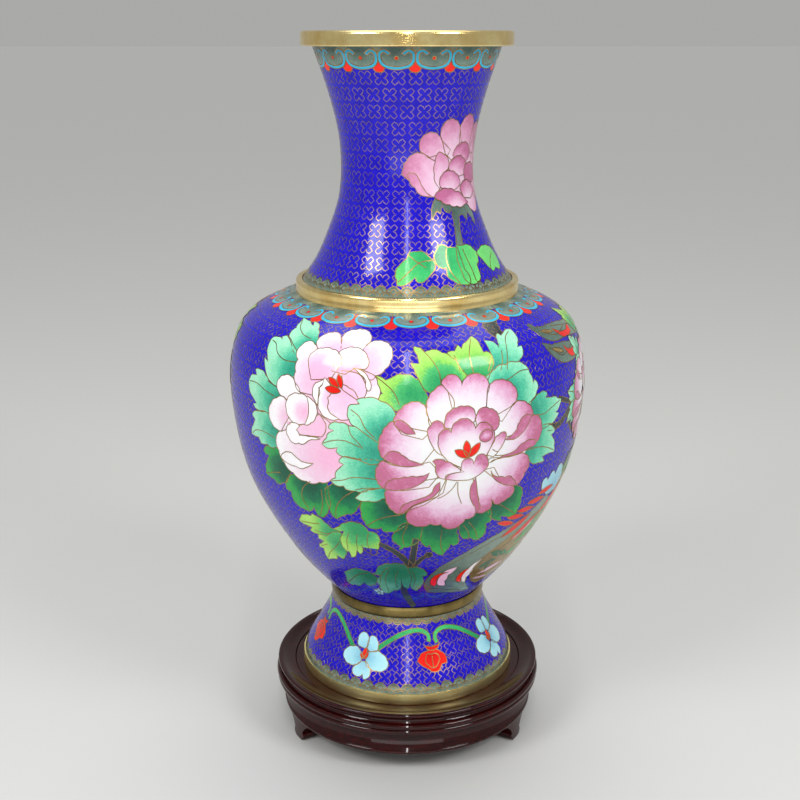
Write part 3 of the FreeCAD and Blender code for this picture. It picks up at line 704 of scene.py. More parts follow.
# The pale peony at the upper left: outer petals from the bottom round to the right, then the cup.
white_peony = (
    petals(WHITE_PETAL, 3, (-42, 128), 4, 34,
           [(-74, 136.5), (-79, 131), (-78, 124), (-75, 118), (-69, 112.5), (-60, 109.3), (-51, 110.5),
            (-43, 113.5), (-36, 118), (-30, 130), (-34, 142, 0), (-50, 152, 0), (-66, 148, 0)])
    + petals(WHITE_PETAL, 3, (-62, 144), 4, 17,
             [(-71, 156), (-77, 154.5), (-81.5, 150.5), (-83.3, 145), (-81.5, 139.5), (-77, 136.7),
              (-73.5, 136.5, 0), (-66, 140, 0), (-62, 150, 0)],
             [(-71.5, 156), (-76, 158.5), (-77.5, 162), (-76, 165.5), (-72.5, 167.7), (-68, 168),
              (-64.5, 165), (-60, 159, 0), (-66, 152, 0)])
    + petals(WHITE_PETAL, 3, (-50, 168), 2, 22,
             [(-60.5, 160.5), (-64.3, 165), (-65, 171), (-65, 177.5), (-67.4, 181), (-66, 185.5), (-62, 189),
              (-57.5, 187.5), (-54, 184, 0), (-46, 172, 0), (-50, 160, 0)])
    + petals(WHITE_PETAL, 3, (-42, 180), 4, 20,
             [(-55.3, 186.5), (-57, 190.5), (-54, 195), (-50, 197), (-45.5, 197), (-42.5, 194),
              (-40.5, 190.5, 0), (-38, 182, 0), (-50, 180, 0)],
             [(-40.5, 190.5), (-41.5, 195.5), (-39, 199.7), (-35, 201), (-31, 201.7), (-27, 201),
              (-24, 198.5), (-22.5, 194), (-24.8, 189.7, 0), (-28, 182, 0), (-38, 181, 0)])
    + petals(WHITE_PETAL, 3, (-27, 178), 4, 20,
             [(-24.8, 189.7), (-21.5, 192.7), (-18, 193.6), (-14, 193), (-10.3, 190.5), (-8.5, 186),
              (-9.3, 181.5), (-12, 177), (-17, 173.4), (-19, 171, 0), (-26, 172, 0), (-28, 182, 0)],
             [(-18.5, 174), (-15.7, 169), (-14.5, 163), (-17, 160, 0), (-26, 160, 0), (-34, 166, 0),
              (-30, 178, 0)])
    + petals(WHITE_PETAL, 4, (-50, 172), 6, 14,
             [(-58, 178), (-55.5, 183.5), (-50.5, 185.7), (-44.5, 185.7), (-39.8, 184), (-37, 178, 0),
              (-42, 170, 0), (-54, 168, 0)])
    + petals(WHITE_PETAL, 4, (-34, 172), 5, 14,
             [(-40, 184), (-36.5, 187), (-31, 188), (-26, 186.7), (-22.5, 183), (-21.3, 179),
              (-23.3, 176.3, 0), (-29, 176.5, 0), (-34, 173, 0), (-42, 174, 0)])
    + petals(WHITE_PETAL, 4, (-32, 166), 0, 30,
             [(-36, 175, 0), (-29, 174.5), (-23, 170), (-22, 163), (-26, 160, 0), (-35, 165, 0)],
             [(-41.5, 163), (-43.3, 159), (-42.5, 154), (-38.5, 150.5), (-33, 149), (-28.5, 152), (-26, 158),
              (-27, 163), (-31, 166), (-36, 167.3), (-39, 166, 0)])
    + petals(WHITE_PETAL, 5, (-40, 160), 2, 9,
             [(-30, 176.8, 0.1), (-24.5, 175.5, 0.2), (-20.7, 171.5), (-19.4, 166), (-20.7, 165.2),
              (-22, 170, -0.2), (-25.5, 173.6, -0.1)],
             [(-46, 169.5, -0.1), (-50.5, 167), (-52.3, 162), (-50.5, 157.5), (-48.3, 155, 0),
              (-48.6, 158, -0.1), (-47.8, 161.5), (-49, 164.5), (-46.5, 167, 0)],
             [(-45.7, 170.3, 0), (-46.7, 166.5), (-48.5, 162, 0), (-48.7, 157), (-47, 152), (-43, 149),
              (-36.5, 149.4, 0), (-41, 151.7, -0.2), (-43, 155.5), (-43.2, 160), (-41, 163.3, 0),
              (-42, 167, 0)])
    + petals(WHITE_PETAL, 4, (-57, 150), 1, 9,
             [(-69.5, 150), (-69, 155), (-66, 158.3), (-61, 159.5), (-56, 158.7), (-53, 153), (-54, 146),
              (-58, 143.5), (-63, 143), (-67.3, 145.3)])
    + petals(WHITE_PETAL, 5, (-40, 150), 2, 12,
             [(-55.7, 159.2, 0.1), (-52, 157.3), (-49.3, 153.5), (-50, 148.5), (-53, 145), (-57, 143.3, 0),
              (-55, 147.5, -0.1), (-54.3, 152, -0.1), (-54.8, 156, 0)],
             [(-70, 138.5), (-67.5, 141.8), (-64, 143.2), (-60.5, 142, 0), (-62.8, 139.3, 0.3),
              (-61, 136.6, 0.1), (-55, 137, 0.1), (-47.5, 136.8, 0.1), (-53, 135.6, -0.1), (-57.5, 132.6),
              (-62, 132), (-66, 131.3), (-69, 134.3)],
             [(-77, 120.5, 0.2), (-74, 123.6, 0.2), (-70, 125), (-66.5, 124, 0), (-62, 121.3, -0.1),
              (-53.5, 121.5, 0.1), (-59, 118), (-66, 117.3, 0.1), (-73, 118, 0.1)])
    + petals(WHITE_PETAL, 4, (-44, 146), 0, 40,
             [(-61.3, 142.6, 0), (-55, 144), (-50.5, 147.3), (-47.5, 150.5, 0), (-44, 146), (-46.8, 138, 0),
              (-54, 137.5, 0), (-60.5, 137, 0.1), (-62.8, 139.5, 0.1)])
    + lenses(RED, 6.5, (-38, 165), 9, ((-35.6, 164), (-44.9, 164.9)), ((-36.8, 166), (-43.4, 170.6)),
             ((-35.4, 165.5), (-37.8, 172.8)))
)

# The large rose-edged peony in the middle: outer petals clockwise from the top, folds, cup, heart.
ROSE_HEART = (32, 134)
rose_outer = (
    petals(ROSE_PETAL, 5.8, ROSE_HEART, 21, 41,
           [(18, 169.3), (20.5, 172.3), (24.8, 173.6), (28.3, 171.2), (29.2, 167.2), (31.7, 171.3), (36, 173),
            (41, 172), (44.6, 168.3), (43.3, 162, 0), (42, 150, 0), (26, 148, 0), (23, 158, 0),
            (21.5, 165, 0)])
    + petals(ROSE_PETAL, 5.8, ROSE_HEART, 21, 42,
             [(43.6, 163.5), (46.8, 167.4), (51.2, 168.3), (56, 167.2), (59.8, 164.4), (62, 160.3),
              (61.3, 156.3), (58.5, 153.5, 0), (52, 146, 0), (42, 150, 0)])
    + petals(ROSE_PETAL, 5.8, ROSE_HEART, 24, 39,
             [(18.7, 168.6), (14.3, 166), (11.3, 162.3), (10.3, 157.5), (11, 152), (14, 145, 0), (21, 148, 0),
              (24.3, 156), (23, 163, 0)])
    + petals(ROSE_PETAL, 5.8, ROSE_HEART, 26, 44,
             [(11, 151.5, 0), (9.8, 156.3), (7.5, 159.3), (4.3, 160.2), (0.3, 159.2), (-3, 156.6),
              (-5.8, 153.2), (-7, 149.5, 0), (-3, 143, 0), (8, 140, 0), (14, 146, 0)])
    + petals(ROSE_PETAL, 5.8, ROSE_HEART, 22, 46,
             [(-7, 150), (-10.5, 147.3), (-13, 143.2), (-14.6, 138), (-14.4, 132.8), (-12.7, 129, 0),
              (-4, 126, 0), (8, 126, 0), (14, 134, 0), (12, 144, 0), (3, 146, 0)])
    + petals(ROSE_PETAL, 5.8, ROSE_HEART, 22, 46,
             [(-13, 127.8), (-15.7, 124.5), (-16.9, 120.3), (-16.4, 116), (-14.7, 112.7), (-12, 111, 0),
              (-2, 110, 0), (12, 112, 0), (18, 120, 0), (12, 127, 0), (-2, 124.5, 0), (-8, 125.5, 0)])
    + petals(ROSE_PETAL, 5.8, ROSE_HEART, 26, 50,
             [(-11.5, 110.3), (-12, 105), (-10.7, 100.7), (-8, 97), (-4.6, 94.8), (0, 97, 0), (10, 101, 0),
              (20, 108, 0), (22, 118, 0), (8, 116, 0), (-2, 111, 0)])
    + petals(ROSE_PETAL, 5.8, (29, 122), 12, 38,
             [(-0.7, 94.3, 0.1), (-0.4, 91), (3, 87.4), (8, 86), (13.7, 87.7), (20.5, 86.8), (23.5, 83.7),
              (28, 82.7), (33, 85.5), (35.2, 88.8), (39.3, 89.3), (41.4, 92, 0), (41, 97, 0), (38, 110, 0),
              (36, 118, 0), (22, 118, 0), (17, 106, 0), (9, 102.5, 0), (3, 100, 0.1)])
    + petals(ROSE_PETAL, 5.8, ROSE_HEART, 22, 43,
             [(41.5, 93), (44, 91.4), (48, 92), (51, 94), (51.3, 97, 0), (50, 100.5, 0), (52.3, 97.3),
              (54.5, 95.5), (58.5, 96.3), (61.7, 98), (65, 99.8), (65.6, 103.6), (62, 106.5, 0), (54, 112, 0),
              (49, 120, 0), (38, 119, 0), (39, 109, 0), (42, 101, 0)])
    + petals(ROSE_PETAL, 5.8, ROSE_HEART, 20, 43,
             [(66, 105.3), (69.7, 107.7), (71.6, 112), (73.9, 116), (73.2, 120.3), (70, 123.7),
              (66.3, 125, 0), (58, 124.5, 0), (46, 126, 0), (42, 120, 0), (49, 114, 0), (58, 112, 0),
              (63, 109, 0)],
             [(77.6, 129), (80.4, 133), (80.5, 139), (78.6, 143), (75, 145.5), (71.5, 145.5, 0), (66, 140, 0),
              (58, 137, 0), (46, 136, 0), (42, 128, 0), (55, 126.2, 0), (66, 127, 0)],
             [(58.3, 153.5), (61, 155.1), (65, 155), (69, 153), (72.2, 149.5), (72.9, 145.5, 0), (66, 141, 0),
              (60, 136.5, 0), (50, 134, 0), (42, 140, 0), (46, 149, 0)])
)
rose_folds = petals(
    ROSE_PETAL, 6.6, ROSE_HEART, -30, 20,
    [(-7, 148.5), (-5, 150.6), (-1, 149.3, 0.1), (2, 146.3, 0.1), (4.3, 143, 0), (0, 143, 0.1),
     (-3.5, 145, 0.1)],
    [(-12.5, 129, 0.1), (-10, 132.5), (-6.5, 133.3), (-3, 131.4, 0.1), (1, 128.4, 0), (8.8, 125.6, 0),
     (3, 124.6, 0.1), (-5, 125.2, 0.1)],
    [(-12.3, 110.8, 0.1), (-11.5, 114), (-8, 116.7), (-4, 117.4), (0.5, 118.2), (5, 118.4, 0.1), (9, 119, 0),
     (12, 120.7, 0), (10, 116.5, 0.1), (5, 113, 0.1), (-3, 110.6, 0.1)],
    [(-4.8, 94.8, 0), (-3.5, 99), (0.3, 102.2, 0.1), (5, 104.2, 0), (10, 106, -0.1), (14, 109),
     (18, 114.8, 0), (18, 110, 0.1), (14.5, 105.8, 0.1), (9, 103, 0), (3, 100.5, 0.1)],
    [(38.3, 115.3, 0), (36, 111, 0.1), (35.7, 106, 0.1), (37.2, 101, 0.1), (40.3, 96.5, 0), (41.5, 92.7, 0),
     (43.2, 94), (42.3, 99, 0), (40.6, 105, 0)],
    [(47.2, 118.8, 0), (48.5, 116, -0.1), (52.5, 113.4), (57, 112.2), (61.5, 112.2, 0), (64, 109.5),
     (66, 105.3, 0), (60.5, 106.8, 0.1), (54, 109.8, 0.1), (49.5, 113.6, 0.1)],
    [(45, 122.8, 0), (48, 124.5, 0), (56, 125, 0), (66, 125.4, 0), (73, 127.2), (77.8, 129), (73.5, 131.7),
     (68.5, 131), (63, 128, -0.1), (55, 126.4, 0)],
    [(54, 135.2, 0), (58.3, 136.8, 0), (62, 140), (63.7, 143.7), (66.5, 146.6), (70, 146.8, 0),
     (72.7, 145.4, 0), (69.3, 140.5, 0.1), (65.5, 136.6, 0.1), (60, 134.4, 0)],
)
rose_cup = (
    petals(ROSE_PETAL, 6.6, (30, 142), 4, 14,
           [(19, 146, 0), (20, 152), (22.3, 154.6), (26, 156.2), (30.2, 156.6), (34.3, 155.7), (36, 152.6),
            (35.7, 148, 0), (28, 144, 0)],
           [(36, 149.5, 0), (37.6, 153), (40.7, 155), (44.3, 153.9), (47.4, 152.6), (49.4, 149.8),
            (50.2, 146), (49, 142.5), (46.5, 141.4, 0), (42, 144, 0), (37, 146, 0)])
    + petals(ROSE_PETAL, 6.6, (19, 130), 2, 19,
             [(10.4, 144.2), (12.2, 147.4), (14.6, 149.9), (17.2, 149.5), (19, 147.3), (19.3, 144, 0),
              (18, 137, 0), (19.3, 130, 0), (16.3, 131.7, 0.1), (12.8, 136.8, 0.1)])
    + petals(ROSE_PETAL, 7.4, (31, 128), 8, 21,
             [(16.3, 140), (17.6, 143.8), (20.3, 145.2), (23.2, 143, 0.1), (23.6, 146.3), (26.2, 149),
              (30, 150.2), (34, 148.2), (36.2, 144, 0.1), (38.2, 146.6), (41.3, 147), (44.2, 145.2),
              (46.2, 142.5), (47.6, 139), (46.8, 134, 0), (43, 127, 0), (31, 121.5, 0), (22, 126.5, 0),
              (18, 131.5, 0), (16.2, 136, 0.1)])
    + petals(ROSE_PETAL, 8.2, (42.5, 139.5), -3, 3,
             [(38.8, 138.2), (39.7, 141.2), (42.7, 142.9), (45.8, 141.5), (46.2, 138.2), (44, 136.2),
              (41, 136.2)])
    + petals(ROSE_PETAL, 7.4, (47, 127), 2, 14,
             [(46.8, 134.8, 0), (48, 137), (50.4, 138.7), (52.6, 140), (54.7, 139.3), (54.6, 136, 0.1),
              (52.3, 131.3, 0.1), (48, 126.5, 0), (44, 128, 0)])
    + petals(ROSE_PETAL, 8.2, (27, 113), 5, 15,
             [(13.5, 127.4), (17, 128.4), (20.6, 126.8), (25, 124.2, 0.1), (28.5, 121.6, 0), (31.3, 119.8, 0),
              (27, 119.8, 0), (21, 118.8, 0), (20.3, 116.3, 0), (17.3, 117.5, 0.1), (15.3, 121, 0.1),
              (15.3, 125, 0)])
    + petals(ROSE_PETAL, 8.2, (33, 114), 2, 14,
             [(29.2, 121.5, 0), (29.5, 125.3), (31.8, 127.6), (34.6, 127.2), (36.3, 123.5, 0), (37.5, 127.7),
              (40, 129.2), (43, 128), (44.8, 124.5), (44.8, 121, 0.1), (40.5, 117.2, 0.1), (34.3, 114.6, 0),
              (27, 115, 0), (20.5, 116.4, 0), (22.5, 119, 0.1), (28.8, 119.8, 0)])
    + lenses(RED, 9, (33, 128.5), 10, ((33.6, 128.2), (25.2, 133)), ((32.6, 128.4), (31.4, 138)),
             ((33.4, 128.2), (39.4, 135.9)))
)
rose_veins = [vein(6.6, (27.3, 114), (25, 110), (21, 106.3), (17, 104.6)),
              vein(6.6, (28, 114), (28.6, 107), (31.3, 100)),
              vein(6.6, (58.3, 153.5), (60.8, 155.3)), vein(8.2, (47, 131), (50.5, 129), (53.3, 133))]

# Leaves. Each runs from a deep root to a pale edge.
left_leaves = (
    petals(MINT_LEAF, 2, (-60, 182), 4, 18,
           [(-83.3, 204.8, 0.05), (-77, 203.3), (-72, 201.7, 0), (-68.3, 200, 0), (-71, 203.6, 0.1),
            (-66.5, 202.7), (-62, 198), (-58.5, 193), (-56.5, 188, 0), (-60, 180, 0), (-69, 180, 0),
            (-77, 188), (-80.6, 191), (-80, 196), (-81.5, 200, 0)])
    + petals(MINT_LEAF, 2.4, (-66, 170), 4, 20,
             [(-92.6, 185.4), (-88, 187.2), (-83, 186.2, 0), (-84.6, 187.9, 0.2), (-81, 189.6, 0),
              (-77, 188, 0), (-68, 182, 0), (-62, 172, 0), (-70, 160, 0), (-80, 161, 0), (-84.6, 163, 0.1),
              (-89.3, 168.5, 0.1), (-91.8, 174, 0.1), (-87.8, 172.3, 0), (-91.3, 177.5, 0.1)])
    + petals(MINT_LEAF, 2, (-76, 152), 4, 22,
             [(-104.3, 158.5, 0.1), (-101.5, 162.7, 0), (-96.5, 163.3, 0), (-98.3, 166.2, 0.2),
              (-93.5, 166.9), (-88, 165), (-84.6, 162, 0), (-76, 160, 0), (-70, 152, 0), (-78, 144, 0),
              (-87.5, 144.5, 0.1), (-93, 143.8), (-98.8, 146.5, 0), (-95.3, 147.6, 0), (-99.8, 150.5)])
    + petals(MINT_LEAF, 2.4, (-76, 135), 4, 22,
             [(-87, 144.8, 0.1), (-94, 143.4), (-100.7, 139.6, 0), (-97.8, 137.6, 0), (-101.3, 133),
              (-104.2, 127.2, 0.1), (-96.2, 127.5, 0), (-94.6, 124.2, 0.1), (-88, 125.3), (-81, 125, 0),
              (-72, 128, 0), (-72, 142, 0)])
    + petals(DARK_LEAF, 1, (-76, 112), 4, 17,
             [(-80, 127, 0), (-86, 124.6), (-92.6, 121), (-92, 118.8, 0), (-88.5, 118.3, 0), (-92.4, 113),
              (-94.6, 108, 0), (-96.3, 105.2, 0.1), (-88.5, 103.6, 0), (-85.5, 101.4, 0.2), (-80.5, 103.3),
              (-74, 108, 0), (-68, 116, 0)])
    + petals(DARK_LEAF, 1, (-58, 108), 4, 18,
             [(-73, 110, 0), (-77.5, 104, 0.1), (-78, 99.8, 0.1), (-74.4, 99.5, 0), (-74.7, 95),
              (-72.3, 91.4), (-67, 89.3), (-62, 89), (-58.6, 93.3, 0), (-57.6, 88), (-54.3, 86.2),
              (-51, 88.7), (-48.3, 93), (-46, 101, 0), (-46, 112, 0), (-60, 116, 0)])
    + petals(DARK_LEAF, 1, (-34, 110), 4, 20,
             [(-48, 107, 0), (-48.3, 100, 0.1), (-47.3, 94.5), (-44.2, 87.3, 0.1), (-40.5, 89.6, 0),
              (-36, 92), (-31.3, 93.7), (-29.2, 97, 0), (-26.5, 100.5, 0), (-22, 112, 0), (-36, 116, 0)])
    + petals(DARK_LEAF, 1, (-8, 98), 4, 18,
             [(-24, 105, 0), (-27, 100, 0.1), (-27, 94), (-25.6, 88), (-24.4, 84.5), (-20, 83.2),
              (-15.7, 84.6, 0), (-14.8, 81.6, 0.2), (-10.5, 81.6), (-4, 84, 0), (4, 90, 0), (2, 104, 0),
              (-12, 110, 0)])
)
left_veins = [vein(2.6, (-82, 203), (-77, 197), (-70, 192.5), (-62, 190.5)),
              vein(2.6, (-91, 184.5), (-86, 183), (-82, 178.5), (-75, 175.7), (-66, 175.8)),
              vein(2.6, (-103, 158.6), (-95, 159), (-87, 156.7), (-79, 155)),
              vein(2.6, (-103, 128), (-98, 131.3), (-90, 132.4), (-80, 131)),
              vein(2.6, (-81, 189.3), (-77, 187.2), (-73, 184.3)),
              vein(2.6, (-96, 144.3), (-92, 143.8), (-87.5, 144.5)),
              vein(2.6, (-95, 105.5), (-88, 108), (-80, 110)),
              vein(2.6, (-63, 90.5), (-66, 98), (-63, 105), (-57, 110)),
              vein(2.6, (-55, 88), (-51.5, 96), (-50.5, 106)),
              vein(2.6, (-44, 88.5), (-42.3, 96), (-37, 103), (-30, 108)),
              vein(2.6, (-24.3, 85), (-18, 90), (-10, 93), (-4, 94))]

middle_leaves = (
    petals(MINT_LEAF, 4.6, (-10, 142), 4, 20,
           [(-30, 157.7, 0), (-25, 158.2, 0), (-26.8, 160.2, 0.2), (-22, 161.6), (-14, 160.3), (-6, 154, 0),
            (-6, 140, 0), (-16, 136, 0), (-22, 140, 0), (-27.5, 146), (-30.7, 149.5), (-31.4, 154)])
    + petals(MINT_LEAF, 5.2, (-14, 131), 4, 27,
             [(-42.3, 143.5), (-41, 146.3), (-36, 147.2), (-31, 146.2, 0), (-27, 146, 0), (-20, 141, 0),
              (-12, 136, 0), (-12, 126, 0), (-20, 125, 0), (-26, 127.3, 0), (-34, 128.3), (-38.7, 131, 0),
              (-37.6, 133.2, 0), (-42, 132), (-46.7, 134.2, 0.1), (-43.7, 138), (-42, 141.3, 0),
              (-39.3, 142.5, 0)])
    + petals(MINT_LEAF, 4.8, (-14, 122), 4, 25,
             [(-25, 128, 0), (-31, 128.4), (-36.5, 127), (-37.3, 124.8, 0.1), (-34.8, 123.8, 0), (-38.6, 120),
              (-40.2, 115, 0.1), (-43.7, 112.8, 0), (-42, 111.2), (-36, 110.6, 0), (-34.7, 108.6, 0.1),
              (-29, 108.2), (-21, 110, 0), (-12, 112, 0), (-10, 120, 0), (-12, 128, 0)])
    + petals(MINT_LEAF, 4.6, (-10, 110), 2, 16,
             [(-29.6, 103.8, 0), (-26, 107.5), (-20, 109.7, 0), (-12, 112, 0), (-8, 106, 0), (-14, 104.5),
              (-22, 102.6)])
)
middle_veins = [vein(5, (-29.8, 155), (-25, 151.5), (-22, 145.5), (-17, 140.5)),
                vein(5.4, (-46, 134.6), (-40, 137), (-33, 137.5), (-25, 134.6)),
                vein(5.4, (-31, 146), (-30, 141.5), (-26, 137.3), (-23.5, 134)),
                vein(5.4, (-35.5, 128.2), (-30, 128.2), (-24.5, 127.3)),
                vein(5.4, (-43, 112.7), (-36, 114.2), (-30, 116.5), (-20, 116.7), (-14, 115.6)),
                vein(5.4, (-29, 109), (-24, 110.5), (-18, 111))]

lime_top = (
    petals(LIME_LEAF, 1.6, (4, 162), 4, 19,
           [(-18.3, 173.7, 0), (-14.5, 173, 0.1), (-11.5, 171.3, 0), (-7, 173.3), (-2, 174.2), (4, 172.5),
            (9, 167, 0), (12, 160, 0), (6, 156, 0), (-2, 158, 0), (-4, 155.7), (-9, 156.6), (-14, 160),
            (-16.2, 163.4, 0), (-13, 164.2, 0), (-16, 168), (-17, 171, 0)])
    + petals(LIME_LEAF, 2.8, (19, 168), 5, 18,
             [(4, 190.2, 0), (7.3, 189.2), (10, 186.5, 0), (14, 187.8), (20, 185.7), (25, 182.7),
              (28.5, 178, 0), (33, 172, 0), (28, 165, 0), (16, 163, 0), (9, 166, 0), (5, 174, 0.1),
              (3.7, 177.5), (2.2, 180.3, 0), (6.6, 180, 0), (5.7, 185)])
    + petals(LIME_LEAF, 2.2, (37, 168), 5, 22,
             [(41.3, 195.3, 0), (36, 191.3), (32.3, 187.3, 0), (30.5, 190, 0.1), (27.7, 186.3),
              (22.5, 185, 0), (27, 181, 0), (28.5, 175, 0), (33, 168, 0), (44, 168, 0), (48, 175),
              (49.7, 180), (48.5, 183.6), (45, 184, 0), (44.4, 189)])
)
lime_veins = [vein(3, (-17, 173), (-12, 169.6), (-7, 165), (-4, 158.5)),
              vein(3, (8, 188.6), (13, 182.7), (17, 176), (18, 169)),
              vein(3, (5, 174), (8, 168), (9.5, 166)),
              vein(3, (40.3, 193.5), (36.6, 186), (35.8, 180), (36.7, 172)),
              vein(3, (26.8, 184), (28.3, 179), (29, 175.5)), vein(3, (49, 181), (47, 177), (45.5, 173.5))]

right_leaves = (
    petals(MINT_LEAF, 1.6, (50, 168), 6, 27,
           [(48.4, 191.4, 0), (52, 190.6), (55.3, 187.8), (56, 185, 0), (57.5, 190.5), (60.6, 195),
            (62, 193, 0), (66, 195.2), (73, 196.2, 0.1), (73.2, 191.5), (70.5, 186.5), (68.7, 184, 0),
            (72.3, 184.5, 0.2), (71.7, 181), (68, 177.3), (64, 175.8, 0), (58, 168, 0), (44, 168, 0),
            (49.7, 180, 0)])
    + petals(MINT_LEAF, 2.4, (56, 160), 5, 20,
             [(42, 170, 0), (50, 174.5), (57, 175.6), (64, 176), (69.3, 174.3), (72.6, 169), (74.2, 163, 0),
              (75.6, 164.7, 0.3), (77.9, 162), (76.5, 158.3), (73, 154.6, 0), (70, 150, 0), (60, 152, 0),
              (46, 162, 0)])
    + petals(MINT_LEAF, 2, (70, 146), 6, 26,
             [(70, 153, 0), (74.5, 154.7), (79, 156.8), (83.2, 157), (85.2, 155.2, 0.1), (83.5, 153.4, 0),
              (89, 152.5), (95, 150.5, 0), (98.7, 149.6, 0.2), (97.2, 146), (93, 143, 0), (96.7, 141.7, 0.1),
              (93.5, 138.8), (88, 137.2), (80, 137, 0), (70, 140, 0)])
    + petals(MINT_LEAF, 1.2, (66, 128), 8, 30,
             [(80, 139, 0), (87, 136.7), (92, 134.6), (94.2, 131.6, 0.2), (91, 130.3, 0), (94.3, 127),
              (96, 122.5), (97.1, 118.3, 0), (91, 119, 0), (85.3, 118.6, 0), (87.7, 115.2, 0.1), (82, 115.6),
              (75, 118, 0), (66, 122, 0), (66, 132, 0)])
)
right_veins = [vein(2.2, (70, 195), (64, 191), (60.5, 183), (57.5, 173)),
               vein(2.6, (73, 171), (66, 171), (59, 168.5), (53, 166)),
               vein(2.2, (97.5, 149), (90, 147), (83, 144.6), (77, 145)),
               vein(2.2, (96, 119.7), (88, 123.5), (80, 125.6), (70, 125.8)),
               vein(2.2, (57, 184), (55.5, 178), (53, 173)), vein(2.2, (82, 138.3), (86, 137.8), (89, 137.3))]

bottom_leaves = (
    petals(DARK_LEAF, 1, (0, 90), 3, 21,
           [(-9.6, 76), (-8.5, 80), (-6, 82.5), (-2, 88, 0), (8, 90, 0), (10, 84, 0), (9, 77), (6, 72.5),
            (2, 70), (-2, 69), (-5.6, 66.8, 0), (-4.2, 70.3), (-7.3, 72.5)])
    + petals(DARK_LEAF, 1.8, (22, 90), 4, 26,
             [(9.5, 90, 0), (8.8, 80, 0.1), (8.6, 76), (11, 70.5), (13, 68.8), (14.6, 70.6, 0), (16.3, 66.3),
              (19.3, 63.6), (25.3, 60.6, 0), (27.4, 65), (28.7, 70, 0), (31, 68.2), (34.2, 69.3), (33.3, 74),
              (31.4, 79, 0), (33, 90, 0)])
    + petals(DARK_LEAF, 1.4, (36, 93), 4, 24,
             [(31, 88, 0), (33.3, 78.5, 0.1), (35.5, 75), (39, 72.5), (41.3, 73.5, 0), (44, 71.5), (49, 70.3),
              (52, 73), (52.2, 77), (50.4, 82, 0), (53.7, 83.4, 0.3), (53, 87), (50, 94, 0), (40, 98, 0)])
    + petals(DARK_LEAF, 1, (56, 100), 4, 24,
             [(48, 95, 0), (52, 87.6, 0.1), (56.5, 84, 0.1), (63, 81.8, 0), (60.6, 85.6, 0), (66, 84),
              (74, 82.3, 0), (74.4, 88), (73.8, 95), (73.4, 99.8), (68.5, 104.4), (62, 107, 0), (54, 102, 0)])
)
bottom_veins = [vein(2, (-2, 71), (-3, 78), (0, 86)), vein(2, (25, 62.5), (22, 71), (21.5, 82)),
                vein(2, (47.5, 72), (44, 79), (38, 86)),
                vein(2, (73, 84), (66, 89), (57, 95)), vein(2, (41, 74), (39, 79), (35, 84))]

lime_cluster = (
    petals(LIME_LEAF, 1.4, (-48, 75), 4, 20,
           [(-76.3, 78.5, 0), (-73, 82), (-68.5, 84.7), (-63.6, 85.2, 0), (-61.8, 87.2, 0), (-57, 85.7),
            (-54, 82.7), (-50.5, 79.5, 0), (-44, 78, 0), (-44, 72, 0), (-52, 71.3), (-58, 70.8), (-63, 71.2),
            (-69.3, 72.6, 0), (-66, 75.7, 0), (-72, 76.3)])
    + petals(LIME_LEAF, 2, (-46, 66), 4, 19,
             [(-63, 71, 0.1), (-64.6, 67, 0), (-60.5, 65.8, 0), (-65, 62.3), (-68.3, 58.8, 0),
              (-64.6, 58.3, 0), (-66, 53.5), (-65.3, 48, 0), (-60, 50.3), (-54.6, 52.7, 0), (-54.8, 55, 0),
              (-50.5, 52.3), (-47, 56), (-44, 62), (-42.5, 70), (-44, 77, 0), (-50, 76, 0), (-56, 71.3, 0)])
    + petals(LIME_LEAF, 2.8, (-30, 82), 5, 22,
             [(-47.8, 79.2, 0.05), (-43, 82), (-38, 85.3), (-31, 86.5), (-26, 84), (-24.5, 81, 0),
              (-21, 80.6), (-18, 77), (-18.6, 71), (-20.3, 65.5), (-24, 60.2, 0), (-28.5, 63.3),
              (-30.3, 69.7, 0), (-30.8, 64), (-33.7, 60.4, 0.2), (-35.3, 63.8, 0), (-37, 59), (-41.6, 56, 0),
              (-41.8, 61), (-43.8, 61.3), (-45.7, 68), (-44, 74, 0), (-40.8, 78.6, 0), (-44, 77.7, 0)])
)
cluster_veins = [vein(3, (-74, 78.5), (-66, 79.2), (-58, 80.5)), vein(3, (-65, 74), (-58, 73.2), (-52, 74)),
                 vein(3, (-64.6, 50), (-60, 56), (-53, 62), (-47, 68)),
                 vein(3, (-66, 60), (-58, 64)), vein(3, (-42.5, 62.5), (-40.8, 71), (-37.5, 78)),
                 vein(3, (-25, 63), (-26.5, 71), (-24.5, 79)),
                 vein(3, (-34.5, 64), (-34, 71), (-32, 77))]

